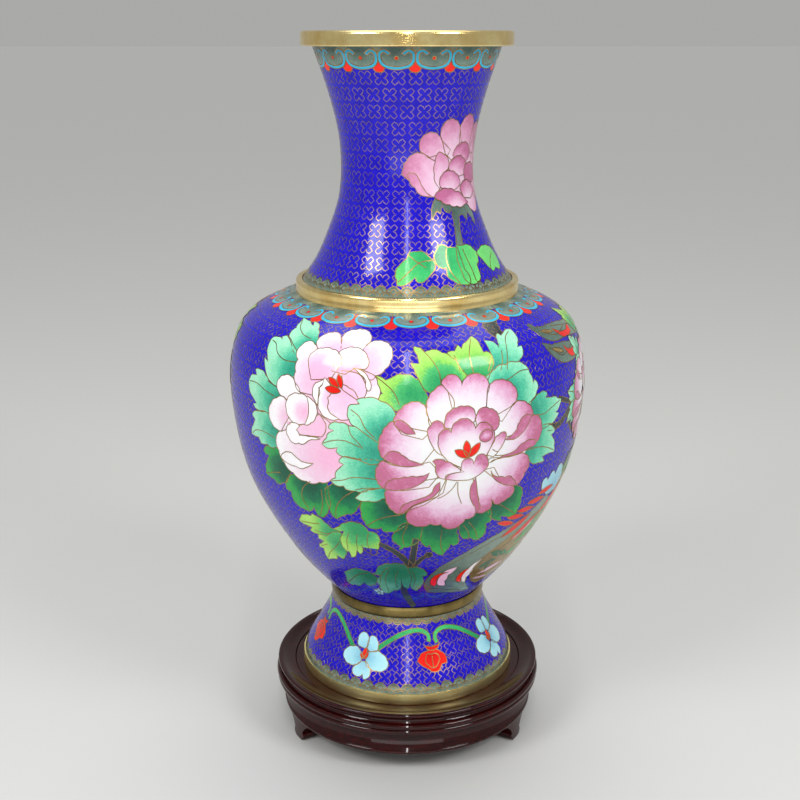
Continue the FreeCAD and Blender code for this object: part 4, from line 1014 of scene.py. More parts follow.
aqua_cluster = (
    petals(AQUA_LEAF, 1.4, (-28, 38), 5, 26,
           [(-60.7, 26.5, 0), (-56.5, 34), (-55.6, 38.6, 0), (-48, 42.7), (-36, 44.2), (-29, 42, 0),
            (-24, 37, 0), (-27.5, 32.5), (-33, 28.6), (-38.6, 27.8, 0.2), (-39.6, 30, 0), (-45, 26.2),
            (-53, 25), (-58.6, 24, 0.1)])
    + petals(AQUA_LEAF, 2, (-6, 49), 4, 26,
             [(-28.8, 42, 0), (-25.3, 43.8, 0), (-23.5, 48), (-19, 51.6), (-12, 53.5), (-5, 53.7), (0, 51),
              (1, 47.5, 0), (3.3, 42.5), (4, 36.5), (2, 31), (0.5, 26.8, 0), (-2.3, 28.3), (-4.2, 32),
              (-4.7, 36.7, 0), (-5.3, 30.5), (-7.2, 26), (-12, 24.6, 0), (-16, 22), (-22, 20.4, 0),
              (-24.3, 23), (-25.3, 30), (-26.3, 36, 0), (-22, 41, 0)])
    + petals(AQUA_LEAF, 2.6, (2, 49), 3, 22,
             [(0, 50, 0), (5, 50.7), (10, 49.4), (14.3, 46), (16.2, 42, 0), (14.7, 40.7), (12.4, 41.6, 0),
              (13.9, 37), (13, 30.5), (10.6, 26.5), (8.7, 23.7, 0), (4.5, 27), (3, 31), (4.2, 38, 0),
              (2.3, 44, 0)])
)
aqua_veins = [vein(2.8, (-58, 27), (-50, 33), (-42, 39), (-33, 41.6)),
              vein(2.8, (-18, 24), (-19, 36), (-14, 47)),
              vein(2.8, (-27.5, 41.5), (-22, 40.5), (-20.5, 42)), vein(2.8, (4, 46.5), (6.6, 38), (5.4, 30)),
              vein(2.8, (-24, 33), (-20, 44), (-14, 50)),
              vein(2.8, (-9, 28), (-10, 38), (-7, 47))]


def limb(layer, width, end_width, *points):
    """A length of stem or branch."""
    return (strip(points, width, end_width), STEM_GREY, layer, points[0], 0.0, 40.0)


stems = [limb(1, 5, 3.6, (3, 50), (4, 60), (5.5, 76)),
         limb(1, 4.5, 3, (3, 51), (-3, 59), (-10, 66), (-20, 72)),
         limb(1, 3.6, 2.6, (5, 51), (9, 57), (14, 61)),
         (bent([(12, 61.5), (15, 64), (17.8, 61.5), (15, 59)], 0.41), STEM_GREY, 1.2, (15, 61), 0, 9),
         limb(0.8, 6, 6.5, (-4, 40), (-3, 24), (2, 12), (9, 1)),
         limb(0.8, 4, 3, (87, 135.5), (97, 134.5), (105, 138), (116, 146)),
         limb(0.9, 3, 2, (96, 150), (105, 147), (114, 143)),
         limb(0.9, 3, 2, (108, 138), (112, 132), (119, 126))]
stems += petals(STEM_GREY, 0.8, (60, 196), 2, 12,
                [(55.5, 204, 0), (63.5, 204.5, 0), (70.5, 207, 0), (66.5, 202), (64.6, 198, 0), (65, 195, 0),
                 (62.5, 190, 0), (59, 190, 0), (56.5, 194), (55, 199)])

# The body of the tail that sweeps in from the side, with its crescents, combs and plumes.
tail = (
    petals(GREY_GREEN, 1, (20, 30), 0, 60,
           [(15, 32), (17.5, 40, 0), (25, 49, 0), (36, 56, 0), (48, 63, 0), (60, 69, 0), (75, 74, 0),
            (90, 80, 0), (104, 88, 0), (112, 84, 0), (100, 72, 0), (85, 64, 0), (72, 58, 0), (63, 52, 0),
            (57, 43, 0), (55, 34, 0), (59, 25, 0), (66, 19, 0), (76, 13, 0), (62, 14, 0), (50, 16, 0),
            (38, 18.5, 0), (27, 19.5, 0), (20, 22), (16, 27)], bulge=0.1)
    + petals(RED, 2.2, (33, 42), 0, 20,
             [(34, 42.8, 0.05), (28, 42.5, 0.1), (23, 40.5, 0.1), (20.3, 37, 0.1), (20.3, 33),
              (22.7, 29.8, 0.1), (25.6, 28.3, 0), (26.6, 31, 0), (25.7, 34.5, -0.1), (26.3, 38, -0.1),
              (28.8, 40.8, -0.1)],
             [(52.5, 43, 0.05), (48, 41.5, 0.1), (45, 38, 0.1), (44.3, 34), (46.3, 30.3, 0.1),
              (51.6, 28.3, 0), (49.3, 33, -0.1), (49.2, 37, -0.1)])
    + petals(WHITE_PETAL, 1.8, (30, 35), 0, 30,
             [(40, 47, 0), (33, 45.5), (28.5, 41, 0), (26.6, 37, 0), (26.5, 33, 0), (28.5, 29, 0), (32, 28),
              (36, 28.5, 0), (33.4, 33), (34.4, 39.5)],
             [(61, 50, 0), (55, 46.5, 0), (51, 42, 0), (49.4, 37, 0), (49.6, 33, 0), (53, 28, 0), (57, 27, 0),
              (55, 33), (57, 42, 0)])
    + petals(TAN, 1.6, (60, 40), 0, 90,
             [(57, 43), (60, 50, 0), (66, 55, 0), (72, 59, 0), (80, 64, 0), (90, 68, 0), (100, 74, 0),
              (112, 84, 0), (124, 96, 0), (134, 110, 0), (158, 112, 0), (158, 96, 0), (150, 78, 0),
              (138, 60, 0), (124, 44, 0), (108, 31, 0), (92, 23, 0), (78, 20, 0), (68, 24, 0), (60, 31, 0),
              (56.5, 37)], bulge=0.1)
    + lenses(DARK_LEAF, 2.3, (70, 45), 30, ((62, 41), (80, 45)), ((67, 54), (86, 47)), ((76, 52), (92, 46)),
             ((72, 47), (74, 34)),
             ((92, 54), (112, 62)), ((96, 60), (118, 76)), ((90, 44), (112, 50)), ((110, 52), (130, 70)),
             bulge=0.3)
    + lenses(WHITE_PETAL, 2.3, (70, 45), 60, ((66, 33), (96, 38)), ((64, 29), (86, 26)),
             ((84, 58), (106, 72)), ((98, 40), (126, 60)),
             bulge=0.14)
    + lenses(RED, 2.9, (90, 80), 40, ((60, 80.5), (76, 76)), ((67, 82.5), (84, 80)),
             ((74, 85.5), (92, 83.5)), ((82, 89), (101, 88)),
             ((91, 93), (109, 93.5)), ((83, 60), (104, 76)), ((70, 66), (92, 79)), ((104, 72), (124, 92)),
             bulge=0.22)
    + petals(SKY, 2.2, (110, 90), 0, 30,
             [(92, 101.5), (96, 102.5, 0), (98, 100, 0), (100, 103.8), (104, 104.5, 0), (106.5, 101.5, 0),
              (109, 106), (114, 106, 0), (124, 98, 0), (116, 88, 0), (104, 88, 0), (95, 94)])
)
tail_veins = [vein(1.6, (20, 26), (32, 24), (44, 21), (60, 17)),
              vein(1.6, (26, 46), (40, 54), (56, 62), (74, 69)),
              vein(2.2, (70, 28), (90, 32), (110, 44), (130, 66)),
              vein(2.2, (64, 48), (78, 56), (96, 64), (120, 84), (134, 104))]

wing = (
    petals(GREY_GREEN, 1.2, (90, 190), 0, 60,
           [(88.8, 196.3, 0), (92.3, 196.5), (95, 193, 0), (103, 192), (113, 191.8), (128, 190),
            (150, 186, 0), (156, 176, 0), (135, 179), (122, 181.3), (113, 181.3), (104, 181.3), (97, 183),
            (92.3, 187), (90, 191.3)],
           [(89.3, 182.7, 0), (92, 182.3, 0), (98, 180), (106, 179.6), (118, 178), (134, 174), (154, 168, 0),
            (150, 158, 0), (132, 166), (122, 167.3), (113, 167.3), (105, 168.3), (98, 172), (93, 177, 0)],
           bulge=0.06)
    + petals(RED, 1.8, (109, 188), 0, 30,
             [(108.8, 188.8, 0), (113, 186.4, 0), (117, 184.6, 0), (126, 184), (134, 186, 0), (132, 181.5),
              (122, 180.8), (115, 181.8), (111, 185)],
             [(110.3, 177.7, 0), (114, 174.6, 0), (120, 173.4, 0), (130, 173.6, 0), (127, 169), (118, 169.3),
              (112.7, 173)], bulge=0.12)
    + lenses(TAN, 1.9, (100, 185), 30, ((96, 189.5), (108, 187)), ((97, 178), (109, 174)), bulge=0.2)
)
wing_veins = [vein(2, (94, 190), (108, 184.5), (126, 187)), vein(2, (94, 180), (106, 172.5), (124, 176)),
              vein(2, (110, 190.5), (132, 186.5), (150, 182))]

# The flowers that close the two sides.
side_flower = (shifted(lime_cluster, 203, -22, 0.8) + shifted(aqua_cluster, 196, -6, 0.9)
               + shifted(left_leaves[:3], 220, 3, 0.8) + shifted(bottom_leaves, 124, 54, 0.62, lift=2)
               + shifted(right_leaves, 118, 60, 0.62, lift=2)
               + shifted(right_leaves, 166, 62, 0.6, flip=True, lift=2)
               + shifted(lime_top, 172, 58, 0.72, flip=True, lift=2)
               + shifted(rose_outer + rose_folds + rose_cup, 126, 60, 0.66))
side_veins = (shifted_veins(cluster_veins, 203, -22, 0.8) + shifted_veins(aqua_veins, 196, -6, 0.9)
              + shifted_veins(bottom_veins, 124, 54, 0.62, lift=2)
              + shifted_veins(right_veins, 118, 60, 0.62, lift=2)
              + shifted_veins(right_veins, 166, 62, 0.6, True, 2)
              + shifted_veins(lime_veins, 172, 58, 0.72, True, 2)
              + shifted_veins(rose_veins, 126, 60, 0.66))

small_blossom = lenses(SKY, 1.2, (-28, 21), 8, *[((-28, 21),
                                                  (-28 + 5.2 * math.cos(t), 21 + 4.4 * math.sin(t)))
                                                 for t in (0.3, 1.56, 2.8, 4.1, 5.3)], bulge=0.6)
beds = [(bent([(-76, 118), (-66, 112), (-50, 113), (-38, 118), (-34, 130), (-26, 150), (-20, 165), (-16, 178),
               (-30, 190), (-50, 190), (-62, 176), (-70, 162), (-78, 148), (-74, 132)], -0.05), WHITE_PETAL,
         2.4, (-45, 140), 4, 60),
        (bent([(-8, 120), (4, 100), (20, 94), (40, 98), (60, 108), (70, 126), (68, 142), (56, 158), (36, 165),
               (16, 158), (-2, 150), (-10, 134)], 0.05), ROSE_PETAL, 5.2, (32, 134), 22, 60)]

body_flowers = (stems + small_blossom + tail + wing + bottom_leaves + left_leaves + right_leaves + lime_top
                + lime_cluster + aqua_cluster + beds + white_peony + middle_leaves
                + rose_outer + rose_folds + rose_cup)
body_veins = (left_veins + middle_veins + rose_veins + lime_veins + right_veins + bottom_veins + cluster_veins
              + aqua_veins + tail_veins + wing_veins)
motif("body_flowers", BODY, body_flowers, body_veins, times=2, beds=beds)
motif("side_flowers", BODY, side_flower, side_veins, times=2)

# ---------------------------------------------------------------- the neck
neck_bed = petals(NECK_PETAL, 1.4, (38, 76), 0, 40, [(16, 62, 0), (26, 56, 0), (42, 56, 0), (58, 62, 0),
                                                     (62, 76, 0), (56, 88, 0), (40, 92, 0), (26, 88, 0),
                                                     (18, 76, 0)])
neck_petals = (
    petals(NECK_PETAL, 2, (34, 66), 12, 38,
           [(-3.6, 71.5, 0.1), (-2.6, 75), (0, 79), (3.7, 82.2), (8, 83), (12, 81.7), (14.5, 80.5, 0),
            (22, 82, 0), (24, 66, 0), (18, 59.3, 0), (12, 60, -0.1), (6, 63.3, -0.1), (1, 68.5, 0)],
           [(13.5, 80.7, 0), (9.6, 82.8), (7.8, 87), (9.2, 91.2), (12, 93.2), (16.3, 93.7), (20.3, 92),
            (22.8, 89.3, 0), (30, 84, 0), (24, 76, 0)],
           [(22.8, 89.6), (21.5, 94), (23.2, 98.2), (26.5, 100.5), (31, 100.2), (34.8, 98), (36.8, 94.5, 0),
            (40, 86, 0), (32, 78, 0), (26, 82, 0)],
           [(36.8, 94.3), (38, 99.2), (41.5, 102.2), (45.3, 102.6), (49, 100.7), (51.7, 97, 0), (56, 90, 0),
            (50, 80, 0), (38, 82, 0)],
           [(51.8, 94.5), (56, 97.8), (60.5, 97), (64, 93.5), (66, 88, 0), (60, 80, 0), (50, 82, 0)],
           [(62, 90), (67.5, 88.3), (71.5, 84), (73.2, 78), (71, 72, 0), (60, 68, 0), (54, 78, 0)],
           [(71.5, 77.5), (76, 71), (74.5, 63.5), (68.5, 58), (60, 56, 0), (52, 60, 0), (56, 72, 0)],
           [(43, 56.5, 0), (48, 61, 0), (56, 62, 0), (62, 57), (59, 51.5), (54, 48.7), (49.5, 50), (46, 53)])
    + petals(NECK_PETAL, 2.8, (10, 60), -20, 22,
             [(0.3, 72.2), (3.2, 72.3), (6.3, 71, 0.1), (9, 66.3, 0), (12.5, 61.7, 0), (17, 59.2, 0),
              (11, 60), (5, 64.7), (1.3, 69)])
    + petals(NECK_PETAL, 3, (26, 64), 2, 24,
             [(18.2, 71.5), (18.6, 77.5), (21.3, 83.4, 0.1), (25.2, 81.7), (28.6, 78.7), (28.6, 74, 0),
              (24, 71, 0), (21.7, 63.4, 0), (19.2, 66.5)])
    + petals(NECK_PETAL, 3, (36, 68), 3, 19,
             [(32.4, 80.8), (34.4, 84.6), (38, 86.6), (42, 87.5), (46.3, 86.7), (50.2, 84), (52.2, 80, 0),
              (46, 76, 0), (36, 77, 0)])
    + petals(NECK_PETAL, 4, (36, 66), 2, 14,
             [(29, 75), (30.6, 77.7), (33.6, 79.4), (38, 80.3), (42.3, 79.2), (46.3, 76, 0), (44, 70, 0),
              (36, 69, 0), (30, 71, 0)])
    + petals(NECK_PETAL, 4.8, (30, 60), 2, 14,
             [(22, 68), (23.7, 70.7), (27, 72.7), (31.2, 72.5), (35.3, 71), (38.7, 68.3), (39, 64.6, 0),
              (33, 62, 0), (26, 62.5, 0), (22.5, 64.3)],
             [(44, 71.5), (46, 74.7), (50.2, 75.8), (55.3, 75.2), (60.2, 72.7), (60.3, 66, 0), (52, 63.5, 0),
              (45, 67, 0)])
    + petals(NECK_PETAL, 5.6, (48, 54), 2, 13,
             [(39, 62.3), (41, 65.2), (45, 66.6), (50.2, 65.7), (55.2, 63.2), (58.3, 60, 0), (50, 56.5, 0),
              (42, 57.5, 0)])
    + petals(NECK_PETAL, 6.4, (34, 50), 3, 12,
             [(17.8, 59.6), (22, 62.6), (28, 63.2), (34.3, 61.2), (40, 59.2, 0), (43.3, 56.7, 0),
              (46.3, 54.6, 0), (40, 53.3), (34, 53.6), (28, 54.8), (22, 57.2)])
)
neck_leaves = (
    petals(GREY_GREEN, 1, (30, 48), 0, 30,
           [(19, 60, 0), (15.8, 55), (15.2, 47, 0), (18.3, 51.8, -0.1), (21, 50, 0), (22.5, 55.5, 0),
            (24, 51.7), (26.5, 50.3), (29.3, 52, 0), (29.2, 42, 0), (27.6, 32, 0), (32.3, 31.5, 0),
            (32.7, 40, 0), (34.6, 48.2, 0), (38, 48.6), (40.8, 45, 0), (42.6, 49.4, 0), (46, 46),
            (48.2, 41.5, 0), (49.2, 47, 0), (48.3, 50.7, 0), (52, 50, 0), (46, 58, 0), (30, 60, 0)],
           bulge=0.12)
    + petals(NECK_LEAF, 1.6, (14, 27), 0, 26,
             [(1, 29.8, 0), (5, 30.2), (9.3, 29.2, 0), (13.5, 24.3), (11.7, 18, 0), (8, 13.7), (5, 12.7),
              (3.7, 15.6, 0), (0.7, 12.7), (-4.3, 11, 0.1), (-4.6, 14.3), (-5.4, 18), (-4, 22.2, 0.1),
              (-0.6, 26, 0)],
             [(17, 33.2, 0), (14.3, 29), (14, 24.4), (16, 20.8), (19.2, 20.4, 0), (18.7, 16.8), (21, 12.7),
              (24.3, 10.3), (29.2, 9.8), (29, 18, 0), (28, 31, 0), (22, 31.7)],
             [(27.3, 32.2, 0), (32, 31.7), (35.7, 31.6), (38.7, 29), (40.7, 25, 0), (39.7, 21.5, 0),
              (37.6, 19.8, 0), (37.3, 14.8), (34, 10), (29.3, 9.7), (27, 16, 0), (26, 24, 0)],
             [(40.3, 25.7), (44, 28.2), (50, 29.2), (54.3, 28), (58.4, 26), (62, 19.7), (56, 13.3, 0),
              (52, 15.5, 0), (48.4, 13.7, 0), (45.7, 17, 0), (43.3, 22, 0)])
)
neck_veins = [vein(2, (-4, 13), (1, 19), (6, 24), (12, 25)), vein(2, (24, 11), (21, 18), (20, 25), (21, 31)),
              vein(2, (33, 11), (33, 19), (31, 30)),
              vein(2, (47, 15), (50, 20), (56, 24)), vein(2, (0, 29), (4, 25), (9, 21))]
motif("neck_peony", NECK, neck_leaves + neck_bed + neck_petals, neck_veins, times=2, cut=2.5, beds=neck_bed)

# ---------------------------------------------------------------- scales and cloud borders

def scale_pair(pitch, foot, low, high):
    """Two scales of a staggered double row, each with a smaller arch inside."""
    half = pitch / 2
    cells, arches = [], []
    for across, tip, layer in ((0.0, high, 1), (half, low, 2)):
        edge = foot + 0.45 * (tip - foot)
        inner = foot + 0.72 * (tip - foot)
        cells.append((bent([(across - half, foot, 0), (across + half, foot, 0), (across + half, edge, 0.34),
                            (across, tip, 0.34),
                            (across - half, edge, 0)]), GREY_GREEN, layer, (across, tip), 0.0, 5.0))
        arches.append((smooth([(across - 0.55 * half, edge - 0.2 * (tip - foot)),
                               (across - 0.3 * half, inner - 0.06 * (tip - foot)), (across, inner),
                               (across + 0.3 * half, inner - 0.06 * (tip - foot)),
                               (across + 0.55 * half, edge - 0.2 * (tip - foot))], 1.2), layer))
    return cells, arches


for name, wall, foot, low, high in (("neck_scales", NECK, NECK.start, 7.2, 10.6),
                                    ("foot_lower_scales", FOOT, FOOT.start, 8.9, 12.2),
                                    ("foot_upper_scales", FOOT, FOOT.end, 48.6, 46.4)):
    pitch = 2 * math.pi * wall.round / 50
    motif(name, wall, *scale_pair(pitch, foot, low, high), times=50,
          stand_in=(name.replace("scales", "scale_enamel"),))


def border_repeat(hook, grey, drop, dot, top, half):
    """One loop of a cloud border, with the red drop that hangs beside it."""
    cells = [([(-half, top - 4), (half, top - 4), (half, top), (-half, top)], GREY_GREEN, 0.8, (0, top), 0.0,
              12.0),
             (bent(drop), RED, 1.4, (half, top), 0.0, 12.0), (bent(grey), GREY_GREEN, 2, (0, top), 2.0, 14.0),
             (strip(hook[0], hook[1]), TURQUOISE, 3, (0, top), 2.0, 16.0)]
    spot, across, up = dot
    cells.append((bent([(-across, spot), (0, spot - up), (across, spot), (0, spot + up)], 0.41), RED, 3,
                  (0, spot), 0.0, 3.0))
    return cells


loop = [(-3.2, 136), (-5.4, 137.9), (-7.6, 136.8), (-8, 133.3), (-6, 130), (0, 128.6), (6, 130), (8, 133.3),
        (7.6, 136.8), (5.4, 137.9), (3.2, 136)]
inside_loop = [(-6.8, NECK.end, 0), (-8, 133.4), (-6, 129.8), (0, 128.4), (6, 129.8), (8, 133.4),
               (6.8, NECK.end, 0)]
drip = [(5.9, 129.4, 0.5), (8.83, 126.3, 0.5), (11.76, 129.4, 0.2), (9.8, 132, -0.1), (9.1, 137, 0),
        (8.56, 137, -0.1), (7.86, 132, 0.2)]
cells = border_repeat((loop, 1.7), inside_loop, drip, (134, 1.0, 1.0), NECK.end, 8.84)
motif("neck_cloud_border", NECK, shifted(cells, -5), times=16, stand_in=("neck_cloud_enamel",))

loop = [(-5.5, 212.6), (-8.4, 214.6), (-11.8, 213.8), (-12.9, 210.8), (-10.3, 207.6), (-5, 205.9), (0, 205.4),
        (5, 205.9), (10.3, 207.6), (12.9, 210.8), (11.8, 213.8), (8.4, 214.6), (5.5, 212.6)]
inside_loop = [(-10.5, BODY.end, 0), (-13, 211.2), (-10, 207), (0, 204.8), (10, 207), (13, 211.2),
               (10.5, BODY.end, 0)]
drip = [(9.6, 206.9, 0.4), (14.95, 203, 0.4), (20.3, 206.9, 0.1), (16.4, 210, -0.1), (15.4, 215, 0),
        (14.5, 215, -0.1), (13.5, 210, 0.1)]
cells = border_repeat((loop, 2.3), inside_loop, drip, (210.2, 1.7, 1.2), BODY.end, 14.95)
motif("body_cloud_border", BODY, shifted(cells, 3.05), times=22, stand_in=("body_cloud_enamel",))

# ---------------------------------------------------------------- the foot
foot_flowers = (
    petals(SKY, 2, (-27.5, 26), 2, 15,
           [(-27.6, 29.8, 0), (-33, 30.5), (-34.7, 34), (-34.2, 37.6), (-31, 39.2), (-28, 38), (-26.3, 33.5)],
           [(-27, 35, 0), (-26, 37.7), (-23, 38.2), (-20.4, 36), (-19.3, 32.5), (-20, 29.3, 0),
            (-24, 28.5, 0), (-27, 30.5, 0)],
           [(-29.5, 27, 0), (-33, 29.7), (-37, 29.2), (-41.2, 27), (-42.6, 23.5), (-40, 20.3), (-36, 18.8),
            (-32, 19.3), (-28.7, 22.3, 0)],
           [(-25.3, 28.2, 0), (-21, 29.7), (-16, 28.6), (-12.4, 25.5), (-11.4, 22), (-13.5, 19.3),
            (-18, 18.4), (-22, 19.3), (-26, 22.5, 0)],
           [(-28.6, 22.4, 0), (-31.7, 19), (-33, 16), (-30.5, 13.3), (-27.5, 13.3, 0.2), (-26, 15, 0),
            (-25, 12.2), (-22.4, 13.4), (-21.6, 17), (-23, 20), (-26, 22.6, 0)])
    + lenses(RED, 3, (-28, 24), 6, ((-27.5, 23.6), (-30.4, 26.6)), ((-28, 24), (-27.2, 30.8)),
             ((-26.8, 23.8), (-25.2, 28.2)))
    + petals(RED, 2, (15, 26), 0, 10,
             [(9.8, 30, 0.1), (16, 31), (21.6, 29.6), (24.8, 25), (24, 22.3, 0), (21.2, 22, 0), (19.4, 19.3),
              (15.5, 18.2), (13, 20, 0), (9, 22.3, 0), (6.2, 25, 0.1), (7.8, 28)])
    + petals(RED, 3, (15, 30), 2, 12,
             [(12.2, 28.7), (15.5, 28.4), (18.8, 28.6), (20.3, 25, 0), (18.3, 22), (15.6, 20.6), (13, 22.6),
              (11.2, 25.3, 0)])
    + petals(RED, 2.5, (16, 30), 0, 10,
             [(10.4, 35, -0.1), (13, 31.5, 0), (17, 30.7, 0), (20.5, 31.8, -0.1), (22.7, 35, -0.2),
              (18.8, 33.4, -0.2), (14.8, 33.3, -0.2)])
)
foot_flowers += [(strip(line, 3.0, 2.6), NECK_LEAF, layer, line[0], 0.0, 60.0) for layer, line in (
    (1, ((-20.5, 30.5), (-14, 35.5), (-5, 40.5), (4, 43), (10.5, 42.6), (14.6, 40), (14.7, 36)),),
    (1.4, ((54.6, 28.5), (48, 34), (38.5, 40), (28.5, 42.8), (21.6, 41.6), (19.4, 38.6), (20.2, 34.8)),))]
motif("foot_flowers", FOOT, foot_flowers, [vein(3, (15.6, 20.5), (15.7, 27.5))], times=4, cut=2.5)

# ---------------------------------------------------------------- the wire clouds on the blue
def all_round(cells, wall, times):
    """The outlines of the cells, and of their repeats round the wall."""
    outlines = [cell[0] for cell in cells]
    repeat = 2 * math.pi * wall.round / times
    turns = [k for k in range(-(times // 2), times // 2 + 1) if k]
    return outlines + [[(x + turn * repeat, y) for x, y in outline] for outline in outlines for turn in turns]


cloud_field("body_clouds", BODY, low=4.0, high=203.5, pitch=9.5,
            outlines=all_round(body_flowers + side_flower, BODY, 2))
cloud_field("neck_clouds", NECK, low=9.5, high=127.5, pitch=9.5,
            outlines=all_round(neck_petals + neck_leaves, NECK, 2), first=1)
cloud_field("foot_clouds", FOOT, low=11.0, high=48.5, pitch=9.2,
            outlines=all_round(foot_flowers, FOOT, 4))


# ---------------------------------------------------------------- finishes of the turned and spun parts
for name in [name for name in NODES if "copper" in name] + ["base_plate"]:
    NODES[name].data.materials.clear()
    NODES[name].data.materials.append(COPPER)


def eased(part, low, high, inside, depth):
    """Pull the outer face of a section to a softer line: depth is how far in, by the height up the face."""
    face = max(-v.co.y for v in part.data.vertices)
    edit = bmesh.from_edit_mesh(part.data)
    outer = [edge for edge in edit.edges
             if all(-v.co.y > face - inside and low - 1e-6 < v.co.z < high + 1e-6 for v in edge.verts)]
    bmesh.ops.subdivide_edges(edit, edges=outer, cuts=3)
    for vertex in edit.verts:
        if -vertex.co.y > face - inside and low + 1e-6 < vertex.co.z < high - 1e-6:
            vertex.co.y = depth((vertex.co.z - low) / (high - low)) * MM - face
    bmesh.update_edit_mesh(part.data)


def turned(name, finish, slot, body, crease=28, ease=None):
    """The part turned again from half of its own section, so that its surface is one smooth round."""
    part = bpy.data.objects.new(name + "_turned", NODES[name].data.copy())
    bpy.context.scene.collection.objects.link(part)
    only(part)
    bpy.ops.object.mode_set(mode="EDIT")
    bpy.ops.mesh.select_all(action="SELECT")
    bpy.ops.mesh.remove_doubles(threshold=0.4 * SEAM)
    bpy.ops.mesh.select_all(action="SELECT")
    bpy.ops.mesh.bisect(plane_co=(0, 0, 0), plane_no=(1, 0, 0), clear_inner=True, clear_outer=True)
    bpy.ops.mesh.select_all(action="SELECT")
    bpy.ops.mesh.bisect(plane_co=(0, 0, 0), plane_no=(0, 1, 0), clear_outer=True)
    bpy.ops.mesh.select_all(action="SELECT")
    bpy.ops.mesh.remove_doubles(threshold=2 * SEAM)
    bpy.ops.mesh.select_all(action="SELECT")
    bpy.ops.mesh.dissolve_limited(angle_limit=math.radians(1.5))
    if ease:
        eased(part, *ease)
    bpy.ops.mesh.select_all(action="SELECT")
    bpy.ops.mesh.spin(steps=RING_STEPS, angle=2 * math.pi, center=(0, 0, 0), axis=(0, 0, 1))
    bpy.ops.mesh.select_all(action="SELECT")
    bpy.ops.mesh.remove_doubles(threshold=SEAM)
    bpy.ops.mesh.normals_make_consistent(inside=False)
    bpy.ops.object.mode_set(mode="OBJECT")
    bpy.ops.object.shade_smooth_by_angle(angle=math.radians(crease))
    part.data.name = part.name
    part.data.materials.clear()
    part.data.materials.append(finish)
    if finish is LINING:
        part.data.attributes.new("tone", "FLOAT",
                                 "POINT").data.foreach_set("value", [0.5] * len(part.data.vertices))
    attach(part, body)
    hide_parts(name)


def rounded(share):
    """A quarter round's fall, from 0 at its start to 1 at its end."""
    return 1.0 - math.sqrt(max(0.0, 1.0 - min(max(share, 0.0), 1.0) ** 2))


def shoulder_line(t):
    """A bead at the foot, a shallow cove, and a rounded lip."""
    cove = 0.16 * math.sin(math.pi * (t - 0.18) / 0.56) ** 2 if 0.18 < t < 0.74 else 0.0
    return cove + 0.3 * rounded((0.12 - t) / 0.12) + 1.1 * rounded((t - 0.8) / 0.2)


def foot_line(t):
    """A soft crown, fuller at the floor."""
    return 0.4 * t ** 2 + 0.5 * rounded((0.2 - t) / 0.2)


turned("rim_ring", BRASS, "brass", "vase")
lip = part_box("shoulder_ring")[1][2]
turned("shoulder_ring", BRASS, "brass", "vase",
       ease=(lip - SHOULDER_RING_TALL * MM, lip, SHOULDER_FACE * MM, shoulder_line))
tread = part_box("foot_ring")
# The foot ring wears the lighter brass, painted light.
turned("foot_ring", LIT_FOOT_BRASS, "brass", "vase",
       ease=(tread[0][2], tread[1][2], FOOT_RING_FACE * MM, foot_line))
# The waist ring wears the darker brass, painted shade.
turned("waist_ring", SHADED_SATIN_BRASS, "brass", "vase")
for name in ("foot_lining", "neck_lining", "body_lining", "base_lining", "base_back_enamel"):
    turned(name, LINING, "lining_enamel", "vase")
for name in ("stand_board", "stand_rim_ring", "stand_bead_ring", "stand_apron_ring"):
    turned(name, ROSEWOOD, "rosewood", "stand")
for name in ("stand_foot_left", "stand_foot_right", "stand_foot_back", "stand_foot_dowels",
             "stand_ring_dowels"):
    NODES[name].data.materials.clear()
    NODES[name].data.materials.append(ROSEWOOD)

# ---------------------------------------------------------------- floor, lights and camera
bpy.ops.object.select_all(action="DESELECT")
bpy.ops.mesh.primitive_plane_add(size=60.0, location=(0, 0, 0))
floor = bpy.context.active_object
floor.name = "floor"
floor_paint, _, floor_shader = new_material("pale_floor")
floor_shader.inputs["Base Color"].default_value = colour(196, 196, 194)
floor_shader.inputs["Roughness"].default_value = 0.8
floor.data.materials.append(floor_paint)

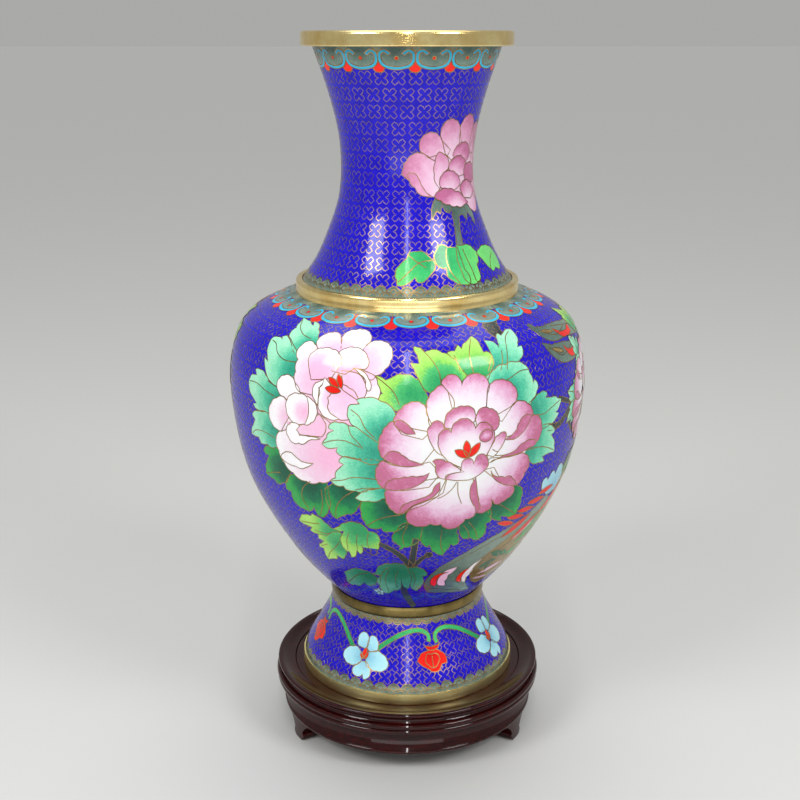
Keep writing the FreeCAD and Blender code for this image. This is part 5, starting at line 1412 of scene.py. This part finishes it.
world = bpy.data.worlds.new("studio")
world.use_nodes = True
world.node_tree.nodes["Background"].inputs["Color"].default_value = (1.0, 1.0, 0.98, 1.0)
world.node_tree.nodes["Background"].inputs["Strength"].default_value = 0.40
bpy.context.scene.world = world


def softbox(name, turn, rise, away, wide, tall, power):
    """An area light at a bearing from the camera's side, aimed at the belly of the vase."""
    aim = Vector((0.0, 0.0, 0.24))
    bearing, lift = math.radians(turn), math.radians(rise)
    spot = aim + away * Vector((math.sin(bearing) * math.cos(lift), -math.cos(bearing) * math.cos(lift),
                                math.sin(lift)))
    lamp = bpy.data.lights.new(name, "AREA")
    lamp.shape = "RECTANGLE"
    lamp.size, lamp.size_y = wide, tall
    lamp.energy = power
    box = bpy.data.objects.new(name, lamp)
    box.location = spot
    box.visible_camera = False
    box.rotation_euler = (aim - spot).to_track_quat("-Z", "Y").to_euler()
    bpy.context.scene.collection.objects.link(box)


softbox("left_softbox", turn=-48, rise=36, away=1.5, wide=0.50, tall=0.46, power=9.5)
softbox("right_softbox", turn=48, rise=36, away=1.5, wide=0.50, tall=0.46, power=9.5)
softbox("centre_strip", turn=0, rise=45, away=1.3, wide=0.03, tall=1.6, power=5)
softbox("low_front_card", turn=0, rise=-5, away=1.3, wide=1.5, tall=0.25, power=2.2)

# Broad light from overhead and a little behind, which keeps the far floor as pale as the room.
skylight = bpy.data.lights.new("skylight", "SUN")
skylight.energy = 1.1
skylight.angle = math.radians(50)
skylight_lamp = bpy.data.objects.new("skylight", skylight)
skylight_lamp.rotation_euler = (math.radians(-22), 0.0, 0.0)
bpy.context.scene.collection.objects.link(skylight_lamp)

LOOKS_DOWN = 16.7
camera_data = bpy.data.cameras.new("camera")
camera_data.lens = 55.8
camera_data.sensor_width = 36.0
camera_data.shift_x = -0.009
camera = bpy.data.objects.new("camera", camera_data)
camera.location = (0.0, -0.712, 0.4192)
camera.rotation_euler = (math.radians(90 - LOOKS_DOWN), 0.0, 0.0)
bpy.context.scene.collection.objects.link(camera)
bpy.context.scene.camera = camera
bpy.context.scene.view_settings.view_transform = "Standard"
